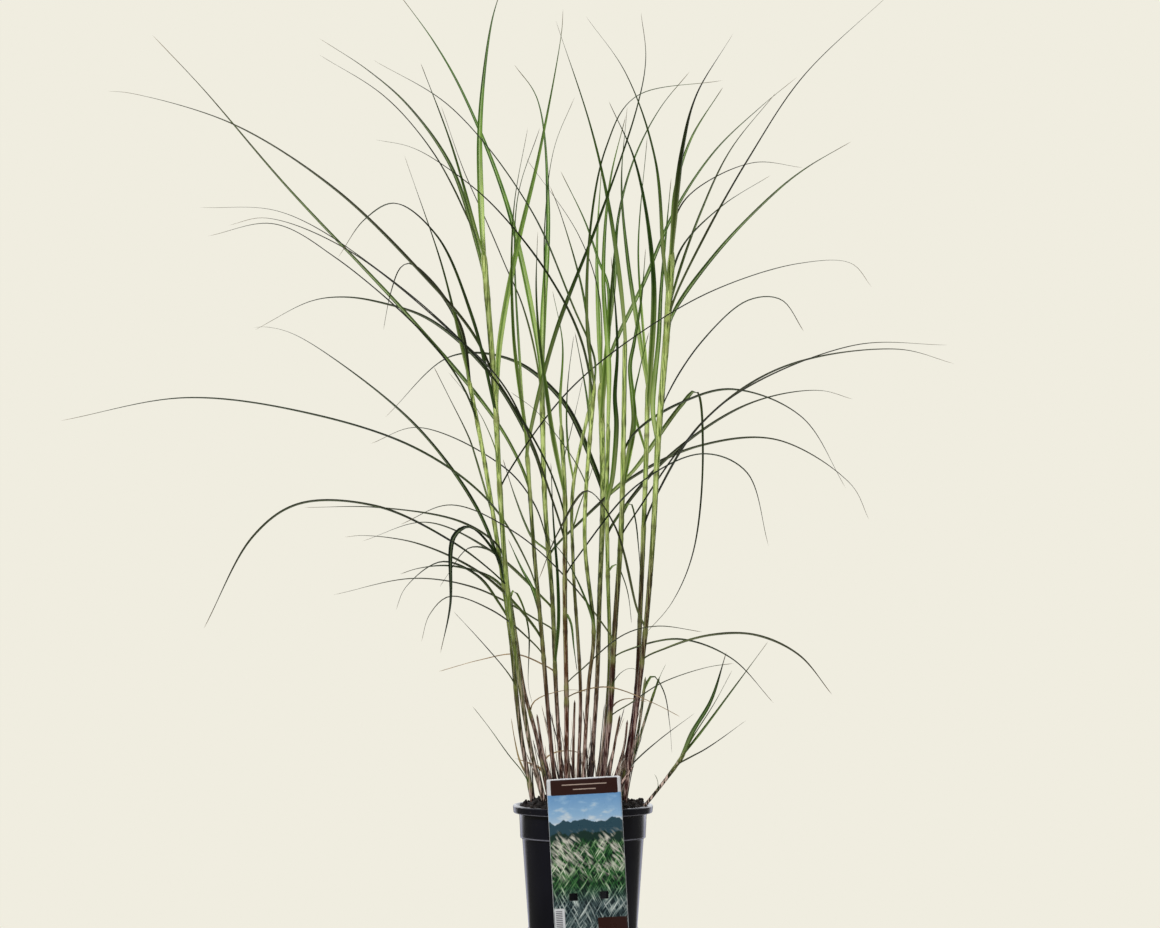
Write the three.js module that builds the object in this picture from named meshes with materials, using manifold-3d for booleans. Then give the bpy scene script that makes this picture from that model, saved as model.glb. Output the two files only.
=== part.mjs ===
// Silver-feather maiden grass in its nursery pot: leafy stems, dead stubs, potting soil, the pot and
// its plant label. Millimetres, +Z up, the front faces -Y, and the origin is the middle of the foot.

import * as THREE from "three";
import { mergeVertices } from "three/addons/utils/BufferGeometryUtils.js";
import Module from "manifold-3d";

const wasm = await Module();
wasm.setup();

// Pot
const POT_HEIGHT = 175;
const RIM_RADIUS = 85;
const LIP_BASE = 163;
const LIP_WIDTH = 5;
const LIP_EDGE = 1.5;
const COLLAR_BASE = 136;
const COLLAR_RADIUS = 77.5;
const COLLAR_FOOT_RADIUS = 76;
const BODY_TOP_RADIUS = 74;
const BODY_FOOT_RADIUS = 66.1;
const STEP = 1;
const FOOT_RADIUS = 64.5;
const FOOT_FLARE = 3;
const FOOT_EDGE = 2;
const FOOT_HEIGHT = 27;
const WALL = 1.5;
const FLOOR = 2.4;
const POT_SIDES = 40;
const DRAIN_HOLES = 8;
const DRAIN_RADIUS = 5;
const DRAIN_CIRCLE = 48;
const DRAIN_SIDES = 10;
const DRILL_LENGTH = 10;

// Soil
const SOIL_EDGE_HEIGHT = 171;
const SOIL_EDGE_DEPTH = 3;
const SOIL_RADIUS = 77;
const SOIL_GAP = 0.9;
const SOIL_MOUND = 17;
const MOUND_RADIUS = 80;
const MOUND_POWER = 1.2;
const SOIL_RINGS = 8;
const SOIL_SIDES = 36;
const CRUMB = 1.3;
const CRUMB_WAVES = [
  { rate: 0.31, bend: 1.3, bendRate: 0.23 },
  { rate: 0.37, bend: 1.7, bendRate: 0.19 },
];
const CLEARANCE = 0.35;

// Label: a card that hangs on the rim from a narrow tongue
const CARD_WIDTH = 88.5;
const CARD_HEIGHT = 192;
const CARD_TOP = 213.8;
const CARD_SHIFT = 0.3;
const CARD_THICKNESS = 0.8;
const CARD_CORNER = 2;
const CARD_TILT = THREE.MathUtils.degToRad(3.2);
const SLOT_SIZE = [10, 9];
const SLOT_PLACES = [
  [-19.5, 50.4],
  [17.3, 50.9],
];
const TONGUE_WIDTH = 30;
const TONGUE_FOOT = 138;
const TONGUE_LEAN = 12;
const TONGUE_ROOT = 6;
const FOLD_RADIUS = 4;
const FOLD_DROP = 9;
const CURVE_SEGMENTS = 6;

// Stems and blades
const FOOT_DEPTH = 26;
const STEM_SIDES = 6;
const CULM_STEP = 45;
const CULM_SAMPLES = 200;
const FAN_START = 200;
const FAN_RATE = 1.25 / 500;
const ROOT_SINK = 13;
const KEEL = 1.25;
const KEEL_PART = 1.2;
const BLADE_STEP = 38;
const BLADE_STEPS_LEAST = 5;
const ARCH = 1.6;
const ROLL = 0.3;
const ROOT_WIDTH = 3;
const ROOT_PART = 0.7;
const FULL_SHARE = 0.25;
const TAPER = 1.35;

// The routes below are seen from the front, so a point that lies further back is moved out along
// the line of sight.
const EYE_DISTANCE = 5200;
const EYE_HEIGHT = 587.7;

// Blades of different stems keep this far apart, and a blade's tip moves back or forth to do it.
const SPACING = 2.2;
const SHIFT_STEP = 9;
const SHIFT_TRIES = 60;
const SAMPLE_STEP = 4;
const CUBE = 20;

// Each finish: its colour and roughness.
const finishes = {
  pot: ["#0d0d12", 0.25],
  soil: ["#2b2320", 0.95],
  card: ["#dfe3dc", 0.4],
  tan: ["#8d7a56", 0.55],
  plum: ["#4a2c30", 0.55],
  olive: ["#6f7d45", 0.55],
  green: ["#5f8a45", 0.55],
};

// Each stem: its colour, its depth at the foot, its girth at the foot and with its leaf sheaths at
// the top, the points of its culm, and its blades.
// A blade: the height where it leaves the culm, its width, how far behind that its tip lies, and
// its points from there to the tip.
const stems = [
  {
    colour: "olive",
    depth: 5,
    girth: [5.4, 5.0],
    culm: [[-62, 184], [-76, 265], [-89, 389], [-108, 520], [-121, 600], [-140, 698]],
    blades: [
      [198, 3, -40, [-73, 214], [-90, 235], [-113, 267], [-134, 294]],
      [204, 2.6, 50, [-77, 229], [-83, 255], [-87, 280]],
      [318, 4, -50, [-90, 333], [-120, 369], [-157, 409]],
      [398, 5, 60, [-103, 420], [-128, 452], [-172, 469], [-215, 438], [-227, 410]],
      [440, 8, -80, [-103, 472], [-137, 511], [-156, 500], [-161, 415], [-173, 358]],
      [455, 6, 190, [-128, 532], [-200, 631], [-300, 714], [-355, 747], [-385, 754], [-400, 753]],
      [518, 3, 60, [-121, 564], [-131, 598], [-138, 619], [-163, 670], [-181, 706]],
      [640, 7, -200, [-145, 680], [-188, 740], [-300, 838], [-375, 879], [-455, 864]],
      [686, 7, 90, [-150, 755], [-185, 810], [-211, 831], [-221, 826], [-233, 795], [-242, 750]],
      [690, 5, -220, [-147, 727], [-171, 827], [-217, 963]],
    ],
  },
  {
    colour: "olive",
    depth: -25,
    girth: [5.4, 7.5],
    culm: [[-50, 190], [-62, 236], [-76, 317], [-92, 440], [-101, 560], [-107, 674], [-121, 850]],
    blades: [
      [438, 7, -180, [-99, 447], [-155, 491], [-250, 536], [-345, 539], [-400, 500], [-460, 388]],
      [470, 5, 90, [-105, 490], [-150, 518], [-250, 535], [-338, 535]],
      [555, 6, -220, [-80, 594], [-16, 678], [68, 746], [160, 799], [262, 831], [325, 831], [350, 802]],
      [562, 3, -60, [-105, 600], [-111, 619], [-124, 647], [-141, 672], [-163, 699]],
      [645, 7, 300, [-101, 734], [-80, 850], [-55, 955], [-26, 1110], [-24, 1140]],
      [640, 9, -180, [-110, 665], [-135, 765], [-178, 865], [-228, 904], [-265, 884], [-297, 838]],
      [690, 7, 250, [-133, 744], [-190, 812], [-300, 920], [-425, 1000], [-547, 1037], [-577, 1040]],
      [800, 6, 220, [-128, 850], [-160, 948], [-212, 1022], [-262, 1066], [-320, 1104]],
      [835, 5, -190, [-130, 870], [-160, 975], [-197, 1074]],
      [840, 6, -100, [-135, 875], [-180, 963], [-240, 1033], [-320, 1084]],
      [846, 8, 210, [-123, 880], [-125, 1000], [-111, 1122], [-97, 1170]],
    ],
  },
  {
    colour: "olive",
    depth: 30,
    girth: [4.8, 4.0],
    culm: [[-44, 195], [-56, 256], [-71, 312], [-83, 390], [-95, 465]],
    blades: [
      [212, 5, 30, [-53, 219], [-63, 224], [-82, 231]],
      [222, 3, 45, [-40, 235], [-17, 240], [3, 234], [15, 223]],
      [283, 2.6, 20, [-61, 297], [-51, 305], [-29, 312], [-12, 314], [9, 311]],
      [425, 5, 90, [-110, 449], [-160, 464], [-200, 461], [-222, 454]],
      [424, 4, 60, [-84, 434], [-75, 420], [-66, 385], [-66, 318], [-61, 296]],
      [455, 5, 50, [-108, 480], [-138, 486], [-165, 452], [-174, 438]],
    ],
  },
  {
    colour: "tan",
    depth: -5,
    girth: [5.2, 4.6],
    culm: [[-34, 200], [-40, 261], [-50, 380], [-60, 491], [-68, 607]],
    blades: [
      [355, 5, -60, [-65, 375], [-110, 410], [-162, 427], [-186, 405], [-196, 372]],
      [372, 7, 70, [-65, 397], [-120, 452], [-200, 491], [-265, 501], [-290, 499]],
      [405, 5, 40, [-62, 438], [-74, 460], [-91, 497]],
      [428, 7, -160, [-65, 462], [-115, 543], [-200, 605], [-320, 646], [-480, 668], [-634, 640]],
      [555, 6, 240, [-80, 595], [-113, 650], [-210, 765], [-360, 925], [-460, 1042], [-522, 1108]],
      [590, 5, -260, [-69, 624], [-84, 745], [-84, 895], [-67, 996]],
      [598, 8, -330, [-62, 632], [-32, 748], [19, 882], [66, 1022], [76, 1080], [70, 1136]],
      [602, 3.5, 200, [-76, 700], [-80, 905], [-52, 996]],
    ],
  },
  {
    colour: "tan",
    depth: 45,
    girth: [5.0, 6.6],
    culm: [[-26, 205], [-33, 321], [-37, 423], [-46, 539], [-50, 694]],
    blades: [
      [334, 3, 60, [-50, 345], [-82, 357], [-125, 350], [-175, 336]],
      [345, 5, -50, [-30, 395], [-31, 452], [-36, 520], [-39, 590]],
      [385, 5, -60, [-55, 398], [-130, 437], [-205, 449], [-303, 429]],
      [410, 5, 180, [-52, 428], [-110, 481], [-190, 517], [-268, 494]],
      [475, 6, 230, [0, 520], [60, 571], [140, 609], [235, 617], [325, 563], [347, 520]],
      [480, 3, 120, [-60, 496], [-69, 513], [-83, 550], [-97, 594]],
      [488, 5, -70, [-59, 539], [-96, 584], [-200, 632], [-258, 612]],
      [560, 7, 240, [-60, 605], [-113, 697], [-185, 762], [-244, 783], [-290, 790], [-330, 785], [-398, 750]],
      [640, 3.5, -80, [-46, 780], [-46, 880], [-35, 970], [-10, 1033]],
      [655, 6, -160, [-57, 716], [-74, 782], [-93, 826], [-117, 882], [-145, 945], [-172, 1022]],
      [686, 7, 290, [-57, 745], [-91, 899], [-143, 1032], [-179, 1097], [-229, 1166]],
      [690, 8, 310, [-48, 760], [-42, 900], [-55, 1030], [-83, 1072]],
    ],
  },
  {
    colour: "plum",
    depth: -35,
    girth: [5.6, 5.2],
    culm: [[-20, 205], [-20, 304], [-22, 423], [-22, 549], [-27, 640]],
    blades: [
      [303, 3, -50, [-3, 312], [31, 317], [85, 298], [118, 281]],
      [320, 4, -70, [0, 340], [50, 381], [90, 391], [145, 384]],
      [408, 3, -30, [-15, 396], [-11, 365], [-7, 335]],
      [450, 6, -100, [0, 484], [67, 563], [145, 600], [198, 578], [225, 488]],
      [490, 8, -200, [-36, 540], [-93, 678], [-157, 745], [-290, 850], [-385, 886], [-430, 877]],
      [520, 6, -290, [-45, 590], [-125, 712], [-240, 817], [-365, 893], [-465, 899]],
      [545, 9, 60, [-30, 583], [-38, 625], [-45, 675], [-54, 745], [-57, 800], [-55, 870]],
      [628, 4, -70, [-28, 664], [-25, 734], [-37, 798]],
    ],
  },
  {
    colour: "tan",
    depth: 20,
    girth: [4.2, 4.0],
    culm: [[-6, 205], [-3, 312], [-12, 470], [-12, 559], [10, 665]],
    blades: [
      [565, 3, 90, [-17, 597], [-20, 640], [-18, 690], [-11, 744]],
      [650, 4, 90, [8, 730], [0, 795], [-26, 888], [-40, 925]],
    ],
  },
  {
    colour: "tan",
    depth: -50,
    girth: [4.6, 4.8],
    culm: [[0, 205], [7, 321], [13, 382], [2, 500], [14, 690]],
    blades: [
      [388, 7, -60, [7, 412], [-22, 475], [-48, 505]],
      [620, 3, 40, [6, 658], [-1, 702], [-10, 748]],
      [660, 6, -290, [-2, 735], [-40, 813], [-110, 902], [-168, 949], [-209, 972], [-252, 981]],
      [680, 8, -110, [14, 714], [-12, 779], [-65, 899], [-160, 1020], [-255, 1078]],
      [684, 6, -240, [6, 744], [9, 870], [28, 971], [62, 1032], [170, 1053]],
    ],
  },
  {
    colour: "tan",
    depth: 55,
    girth: [5.2, 8.0],
    culm: [[9, 205], [17, 321], [20, 423], [24, 540], [22, 690]],
    blades: [
      [505, 8, 190, [28, 535], [10, 592], [-25, 664], [-85, 713], [-160, 718], [-240, 644]],
      [640, 8, -120, [31, 740], [38, 840], [46, 905]],
      [670, 5, 130, [31, 755], [30, 806], [20, 832], [3, 881], [-27, 943]],
      [680, 6, 240, [36, 726], [74, 807], [112, 895], [160, 967], [215, 1020], [260, 1057]],
      [684, 3.5, -60, [20, 790], [-5, 865], [-70, 960]],
      [686, 6, 290, [19, 750], [17, 850], [23, 950]],
      [676, 5, 90, [38, 800], [43, 885], [62, 957], [93, 1018], [130, 1064]],
    ],
  },
  {
    colour: "plum",
    depth: -15,
    girth: [6.6, 5.4],
    culm: [[24, 205], [33, 287], [38, 380], [46, 501], [49, 614], [51, 744]],
    blades: [
      [280, 3, -50, [60, 299], [95, 322], [150, 341], [183, 346]],
      [284, 2.6, 40, [37, 295], [48, 302], [62, 303], [78, 299]],
      [318, 2.6, -30, [44, 333], [56, 340], [70, 337]],
      [352, 5, -150, [60, 364], [118, 375], [180, 352], [231, 298]],
      [372, 6, -160, [30, 385], [-18, 447], [-80, 503], [-160, 538], [-222, 514]],
      [498, 7, -190, [70, 537], [123, 613], [185, 672], [330, 732], [442, 732]],
      [522, 4, 30, [57, 541], [63, 522], [67, 490], [69, 465], [70, 438]],
      [556, 7, 60, [56, 600], [62, 640], [60, 670], [57, 707], [62, 735], [71, 790], [76, 850]],
      [600, 6, 100, [66, 628], [120, 662], [182, 678], [265, 645], [319, 558]],
      [735, 7, -300, [46, 794], [30, 905], [8, 1000], [-33, 1125]],
    ],
  },
  {
    colour: "tan",
    depth: 25,
    girth: [4.6, 5.2],
    culm: [[21, 205], [32, 340], [30, 462], [29, 553], [31, 640]],
    blades: [
      [455, 3, 40, [40, 466], [49, 449], [55, 428], [59, 394]],
      [500, 6, 190, [45, 527], [105, 597], [200, 660], [285, 677], [328, 666]],
      [545, 6, 60, [62, 580], [118, 657], [137, 676], [145, 605], [134, 483], [108, 420], [74, 380]],
      [538, 7, -90, [36, 570], [41, 634], [39, 670], [42, 722], [40, 770], [34, 840]],
      [630, 7, 260, [32, 700], [25, 820], [33, 930], [52, 1010]],
    ],
  },
  {
    colour: "plum",
    depth: 10,
    girth: [5.8, 5.8],
    culm: [[48, 200], [64, 304], [70, 423], [76, 578], [79, 690]],
    blades: [
      [212, 4.5, -30, [62, 226], [92, 253], [136, 286]],
      [510, 8, -90, [90, 551], [145, 638], [240, 704], [380, 727], [451, 709]],
      [600, 3.5, -40, [67, 634], [62, 664], [69, 703], [80, 748]],
      [655, 8, -250, [81, 700], [85, 815], [64, 951], [31, 1028]],
      [680, 6, 220, [71, 728], [54, 840], [47, 930], [54, 1022]],
      [684, 3.5, 60, [72, 760], [67, 850], [78, 985]],
    ],
  },
  {
    colour: "plum",
    depth: -25,
    girth: [5.6, 9.0],
    culm: [[53, 200], [66, 300], [76, 389], [85, 501], [91, 614], [102, 754], [108, 849]],
    blades: [
      [350, 6, -100, [100, 364], [155, 380], [210, 380], [262, 356], [302, 308]],
      [385, 6, -120, [65, 412], [38, 513], [5, 555], [-30, 505], [-54, 447]],
      [610, 7, 60, [85, 655], [92, 738], [95, 800], [101, 870], [107, 935]],
      [640, 5, -60, [98, 662], [140, 731], [200, 786], [240, 787], [268, 748]],
      [725, 6, 210, [107, 764], [160, 841], [231, 915], [270, 946], [326, 979]],
      [740, 7, -210, [108, 779], [150, 868], [200, 957], [267, 1058], [372, 1158]],
      [765, 4, 90, [113, 808], [143, 893], [178, 967], [234, 1038]],
      [780, 6, -270, [97, 840], [87, 957], [52, 1061], [3, 1131]],
      [800, 3.5, 70, [120, 850], [168, 900], [228, 938]],
      [840, 9, -290, [111, 880], [121, 970], [138, 1036], [182, 1110]],
      [843, 5, -90, [110, 880], [130, 915], [205, 953], [267, 947]],
      [845, 5, 190, [112, 920], [131, 982], [170, 1045]],
    ],
  },
  {
    colour: "green",
    depth: 45,
    girth: [3.8, 3.0],
    culm: [[48, 205], [61, 239], [68, 270], [76, 330]],
    blades: [
      [312, 4, 30, [85, 331], [98, 312], [105, 275], [108, 236]],
    ],
  },
  {
    colour: "green",
    depth: -8,
    girth: [3.6, 2.6],
    culm: [[60, 228], [80, 292], [93, 330]],
    blades: [
      [312, 3, -20, [94, 332], [101, 346]],
    ],
  },
  {
    colour: "green",
    depth: -15,
    girth: [4.2, 3.6],
    culm: [[72, 170], [90, 192], [115, 225], [125, 240]],
    blades: [
      [222, 5, -40, [130, 232], [150, 243], [198, 277]],
      [232, 7, 40, [133, 262], [155, 300], [174, 360]],
      [234, 3, -70, [133, 256], [160, 299], [181, 338]],
      [236, 4, 80, [146, 266], [180, 312], [225, 373]],
    ],
  },
];

// Dead, cut stubs: depth at the foot, then their points.
const stubs = [
  [-12, [-39, 205], [-48, 236], [-56, 285]],
  [-20, [-12, 205], [-11.5, 250], [-10, 302]],
  [38, [38, 205], [50, 245], [54, 278]],
  [-40, [46, 200], [62, 222]],
  [12, [-12, 205], [-16, 226]],
  [-45, [31, 205], [37, 240], [45, 284]],
];
const STUB_GIRTH = [4, 2.4];

// A closed solid through rings of points, each ring anticlockwise seen from the next one. The last
// ring may be one point, the tip.
function loft(rings) {
  const sides = rings[0].length;
  const faces = [];
  rings.slice(1).forEach((ring, k) => {
    const low = k * sides;
    const high = low + sides;
    for (let i = 0; i < sides; i++) {
      const j = (i + 1) % sides;
      if (ring.length === 1) {
        faces.push(low + i, low + j, high);
      } else {
        faces.push(low + i, low + j, high + j, low + i, high + j, high + i);
      }
    }
  });
  const points = rings.flat();
  const top = points.length - sides;
  for (let i = 1; i < sides - 1; i++) {
    faces.push(0, i + 1, i);
    if (rings.at(-1).length > 1) {
      faces.push(top, top + i, top + i + 1);
    }
  }
  const geometry = new THREE.BufferGeometry().setFromPoints(points);
  geometry.setIndex(faces);
  return geometry;
}

function solidOf(geometry) {
  const bare = geometry.clone();
  bare.deleteAttribute("normal");
  bare.deleteAttribute("uv");
  const merged = mergeVertices(bare);
  return new wasm.Manifold(
    new wasm.Mesh({
      numProp: 3,
      vertProperties: merged.attributes.position.array,
      triVerts: new Uint32Array(merged.index.array),
    }),
  );
}

function meshOf(name, solid, finish) {
  const [color, roughness] = finishes[finish];
  const cut = solid.getMesh();
  const geometry = new THREE.BufferGeometry();
  geometry.setAttribute("position", new THREE.BufferAttribute(cut.vertProperties, 3));
  geometry.setIndex(new THREE.BufferAttribute(cut.triVerts, 1));
  const material = new THREE.MeshStandardMaterial({ color, roughness, metalness: 0 });
  const mesh = new THREE.Mesh(geometry, material);
  mesh.name = name;
  return mesh;
}

// Moves a point of the front view back to a depth, along the line of sight.
function setBack(point, depth) {
  const scale = 1 + depth / EYE_DISTANCE;
  return new THREE.Vector3(point.x * scale, depth, EYE_HEIGHT + (point.z - EYE_HEIGHT) * scale);
}

function smoothPath(path) {
  return new THREE.CatmullRomCurve3(path.map(([x, z]) => new THREE.Vector3(x, 0, z)));
}

// The stems stand closer at the foot than higher up, in depth as in width.
function culmDepth(stem, height) {
  return stem.depth * (1 + FAN_RATE * Math.max(0, height - FAN_START));
}

function culmLine(stem, steps) {
  return smoothPath(stem.culm)
    .getSpacedPoints(steps)
    .map((point) => setBack(point, culmDepth(stem, point.z)));
}

// Where the culm stands at a height, in the front view.
function culmAt(stem, height) {
  const points = smoothPath(stem.culm).getSpacedPoints(CULM_SAMPLES);
  const above = points.findIndex((point) => point.z >= height);
  const near = points[above < 0 ? points.length - 1 : above];
  return [near.x, height];
}

function bladeLine(stem, blade, steps) {
  const [height, , reach, ...path] = blade;
  const root = [culmAt(stem, height - ROOT_SINK), culmAt(stem, height)];
  const depth = culmDepth(stem, height - ROOT_SINK / 2);
  return smoothPath([...root, ...path])
    .getSpacedPoints(steps)
    .map((point, k) => setBack(point, depth + reach * (k / steps) ** ARCH));
}

function bladeLength(stem, blade) {
  const [height, , reach, ...path] = blade;
  return smoothPath([culmAt(stem, height), ...path]).getLength() + Math.abs(reach) / 2;
}

function directionAt(line, k) {
  const before = line[Math.max(0, k - 1)];
  const after = line[Math.min(line.length - 1, k + 1)];
  return new THREE.Vector3().subVectors(after, before).normalize();
}

// A round rod along a line, with a radius for each share of its length.
function rod(line, radiusAt) {
  const rings = line.map((centre, k) => {
    const along = directionAt(line, k);
    const side = new THREE.Vector3(0, 1, 0).cross(along).normalize();
    const back = new THREE.Vector3().crossVectors(along, side);
    const radius = radiusAt(k / (line.length - 1));
    return Array.from({ length: STEM_SIDES }, (_, i) => {
      const turn = (2 * Math.PI * i) / STEM_SIDES;
      return centre
        .clone()
        .addScaledVector(side, radius * Math.cos(turn))
        .addScaledVector(back, radius * Math.sin(turn));
    });
  });
  return solidOf(loft(rings));
}

// A blade widens a little from its sheath, and then narrows to a hair-fine tip.
function bladeWidth(width, share) {
  const root = Math.max(Math.min(width, ROOT_WIDTH), width * ROOT_PART);
  const swell = THREE.MathUtils.smoothstep(share, 0, FULL_SHARE);
  const past = THREE.MathUtils.clamp((share - FULL_SHARE) / (1 - FULL_SHARE), 0, 1);
  return root * (1 - swell) + width * swell * (1 - past ** TAPER);
}

// A blade: a flat upper face over a keel, level across the way it heads and rolled a little.
function blade(line, width) {
  const tip = line.length - 1;
  const heading = new THREE.Vector3().subVectors(line[tip], line[0]).setZ(0).normalize();
  const level = new THREE.Vector3(heading.y, -heading.x, 0);
  const rings = line.slice(0, tip).map((centre, k) => {
    const along = directionAt(line, k);
    const across = level.clone().addScaledVector(along, -level.dot(along)).normalize();
    across.applyAxisAngle(along, ROLL * (1 + k / tip) * Math.sign(heading.x));
    const up = new THREE.Vector3().crossVectors(across, along);
    const half = bladeWidth(width, k / tip) / 2;
    const depth = Math.min(KEEL, half * KEEL_PART);
    return [
      centre.clone().addScaledVector(across, half),
      centre.clone().addScaledVector(up, -depth),
      centre.clone().addScaledVector(across, -half),
    ];
  });
  return solidOf(loft([...rings, [line[tip]]]));
}

// Samples of every stem and blade, sorted into cubes, so that a blade can tell what it is near.
const cubes = new Map();
const near = [-1, 0, 1];
const neighbours = near.flatMap((i) => near.flatMap((j) => near.map((k) => [i, j, k])));

function cubeKey(point, step = [0, 0, 0]) {
  return point.toArray().map((v, n) => Math.floor(v / CUBE) + step[n]).join(" ");
}

function keepSamples(owner, line, radius) {
  line.forEach((point) => {
    const key = cubeKey(point);
    if (!cubes.has(key)) {
      cubes.set(key, []);
    }
    cubes.get(key).push({ owner, point, radius });
  });
}

function roomAround(owner, line, radius) {
  let room = CUBE;
  line.forEach((point) => {
    const samples = neighbours.flatMap((step) => cubes.get(cubeKey(point, step)) ?? []);
    samples.filter((other) => other.owner !== owner).forEach((other) => {
      room = Math.min(room, point.distanceTo(other.point) - radius - other.radius);
    });
  });
  return room;
}

// Moves a blade's tip back and forth from where it was drawn until it is clear of other stems.
function bendClear(stem, drawn) {
  const samples = Math.ceil(bladeLength(stem, drawn) / SAMPLE_STEP);
  const half = drawn[1] / 2;
  let best = { room: -Infinity };
  for (let n = 0; n < SHIFT_TRIES && best.room < SPACING; n++) {
    const shift = SHIFT_STEP * Math.ceil(n / 2) * (n % 2 ? 1 : -1);
    const tried = drawn.with(2, drawn[2] + shift);
    const line = bladeLine(stem, tried, samples);
    const room = roomAround(stem, line, half);
    if (room > best.room) {
      best = { room, blade: tried, line };
    }
  }
  keepSamples(stem, best.line, half);
  return best.blade;
}

// The culm's straight foot, from below the soil's surface up to its first point.
function footLine(stem, below) {
  const [first, second] = culmLine(stem, CULM_SAMPLES);
  const down = new THREE.Vector3().subVectors(first, second).normalize();
  const sink = (first.z - SOIL_EDGE_HEIGHT + FOOT_DEPTH + below) / -down.z;
  return [first.clone().addScaledVector(down, Math.max(sink, FOOT_DEPTH)), first];
}

function culmRadius(stem, share) {
  const [foot, top] = stem.girth;
  return (foot + (top - foot) * share ** 2) / 2;
}

function leafyStem(stem) {
  const culmSteps = Math.ceil(smoothPath(stem.culm).getLength() / CULM_STEP);
  const line = [footLine(stem, 0)[0], ...culmLine(stem, culmSteps)];
  const culm = rod(line, (share) => culmRadius(stem, share));
  const parts = stem.blades.map((one) => {
    const bladeSteps = Math.max(BLADE_STEPS_LEAST, Math.round(bladeLength(stem, one) / BLADE_STEP));
    return blade(bladeLine(stem, one, bladeSteps), one[1]);
  });
  return wasm.Manifold.union([culm, ...parts]);
}

function soilHole(stem) {
  const line = footLine(stem, CLEARANCE);
  const up = new THREE.Vector3().subVectors(line[1], line[0]).normalize();
  line[1].addScaledVector(up, FOOT_DEPTH);
  return rod(line, () => culmRadius(stem, 0) + CLEARANCE);
}

function pot() {
  const outside = [
    [0, 0],
    [FOOT_RADIUS, 0],
    [FOOT_RADIUS + FOOT_EDGE, FOOT_EDGE],
    [FOOT_RADIUS + FOOT_FLARE, FOOT_HEIGHT],
    [BODY_FOOT_RADIUS, FOOT_HEIGHT + STEP],
    [BODY_TOP_RADIUS, COLLAR_BASE - STEP],
    [COLLAR_FOOT_RADIUS, COLLAR_BASE],
    [COLLAR_RADIUS, LIP_BASE],
    [RIM_RADIUS - LIP_EDGE, LIP_BASE],
    [RIM_RADIUS, LIP_BASE + LIP_EDGE],
    [RIM_RADIUS, POT_HEIGHT - 2 * LIP_EDGE],
    [RIM_RADIUS - LIP_EDGE, POT_HEIGHT - LIP_EDGE / 2],
    [RIM_RADIUS - 2 * LIP_EDGE, POT_HEIGHT],
    [RIM_RADIUS - LIP_WIDTH, POT_HEIGHT - LIP_EDGE / 2],
  ];
  const inside = [
    [COLLAR_RADIUS - WALL, LIP_BASE],
    [COLLAR_FOOT_RADIUS - WALL, COLLAR_BASE],
    [BODY_TOP_RADIUS - WALL, COLLAR_BASE - STEP],
    [BODY_FOOT_RADIUS - WALL, FOOT_HEIGHT],
    [FOOT_RADIUS - WALL, FLOOR],
    [0, FLOOR],
  ];
  const outline = [...outside, ...inside].map(([r, z]) => new THREE.Vector2(r, z));
  const shell = solidOf(turned(outline, POT_SIDES));
  const drains = Array.from({ length: DRAIN_HOLES }, (_, i) => {
    const hole = new THREE.CylinderGeometry(DRAIN_RADIUS, DRAIN_RADIUS, DRILL_LENGTH, DRAIN_SIDES);
    hole.rotateX(Math.PI / 2);
    hole.translate(DRAIN_CIRCLE, 0, 0);
    hole.rotateZ((2 * Math.PI * (i + 0.5)) / DRAIN_HOLES);
    return solidOf(hole);
  });
  return shell.subtract(wasm.Manifold.union(drains));
}

// A lathe turns about +Y, so its result is stood up along +Z.
function turned(outline, sides) {
  const geometry = new THREE.LatheGeometry(outline, sides);
  geometry.rotateX(Math.PI / 2);
  return geometry;
}

// The soil is mounded under the stems, and its top is crumbly.
function soilHeight(x, y) {
  const share = Math.min(1, Math.hypot(x, y) / MOUND_RADIUS);
  const [across, back] = CRUMB_WAVES;
  const crumbs =
    Math.sin(x * across.rate + across.bend * Math.sin(y * across.bendRate)) +
    Math.sin(y * back.rate + back.bend * Math.sin(x * back.bendRate));
  const mound = Math.cos((share * Math.PI) / 2) ** MOUND_POWER;
  return SOIL_EDGE_HEIGHT + SOIL_MOUND * mound + CRUMB * crumbs;
}

function soil() {
  const inset = WALL + SOIL_GAP;
  const side = [
    [0, FLOOR + CLEARANCE],
    [FOOT_RADIUS - inset, FLOOR + CLEARANCE],
    [BODY_FOOT_RADIUS - inset, FOOT_HEIGHT],
    [BODY_TOP_RADIUS - inset, COLLAR_BASE - STEP],
    [COLLAR_FOOT_RADIUS - inset, COLLAR_BASE],
    [COLLAR_RADIUS - inset, LIP_BASE],
    [SOIL_RADIUS, SOIL_EDGE_HEIGHT - SOIL_EDGE_DEPTH],
  ];
  const top = Array.from({ length: SOIL_RINGS }, (_, i) => [
    (SOIL_RADIUS * (SOIL_RINGS - 1 - i)) / (SOIL_RINGS - 1),
    SOIL_EDGE_HEIGHT,
  ]);
  const outline = [...side, ...top].map(([r, z]) => new THREE.Vector2(r, z));
  const geometry = turned(outline, SOIL_SIDES);
  const place = geometry.attributes.position;
  for (let i = 0; i < place.count; i++) {
    if (place.getZ(i) === SOIL_EDGE_HEIGHT) {
      place.setZ(i, soilHeight(place.getX(i), place.getY(i)));
    }
  }
  const holes = [...stems, ...stubStems].map(soilHole);
  return solidOf(geometry).subtract(wasm.Manifold.union([...holes, tongueHole()]));
}

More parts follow.
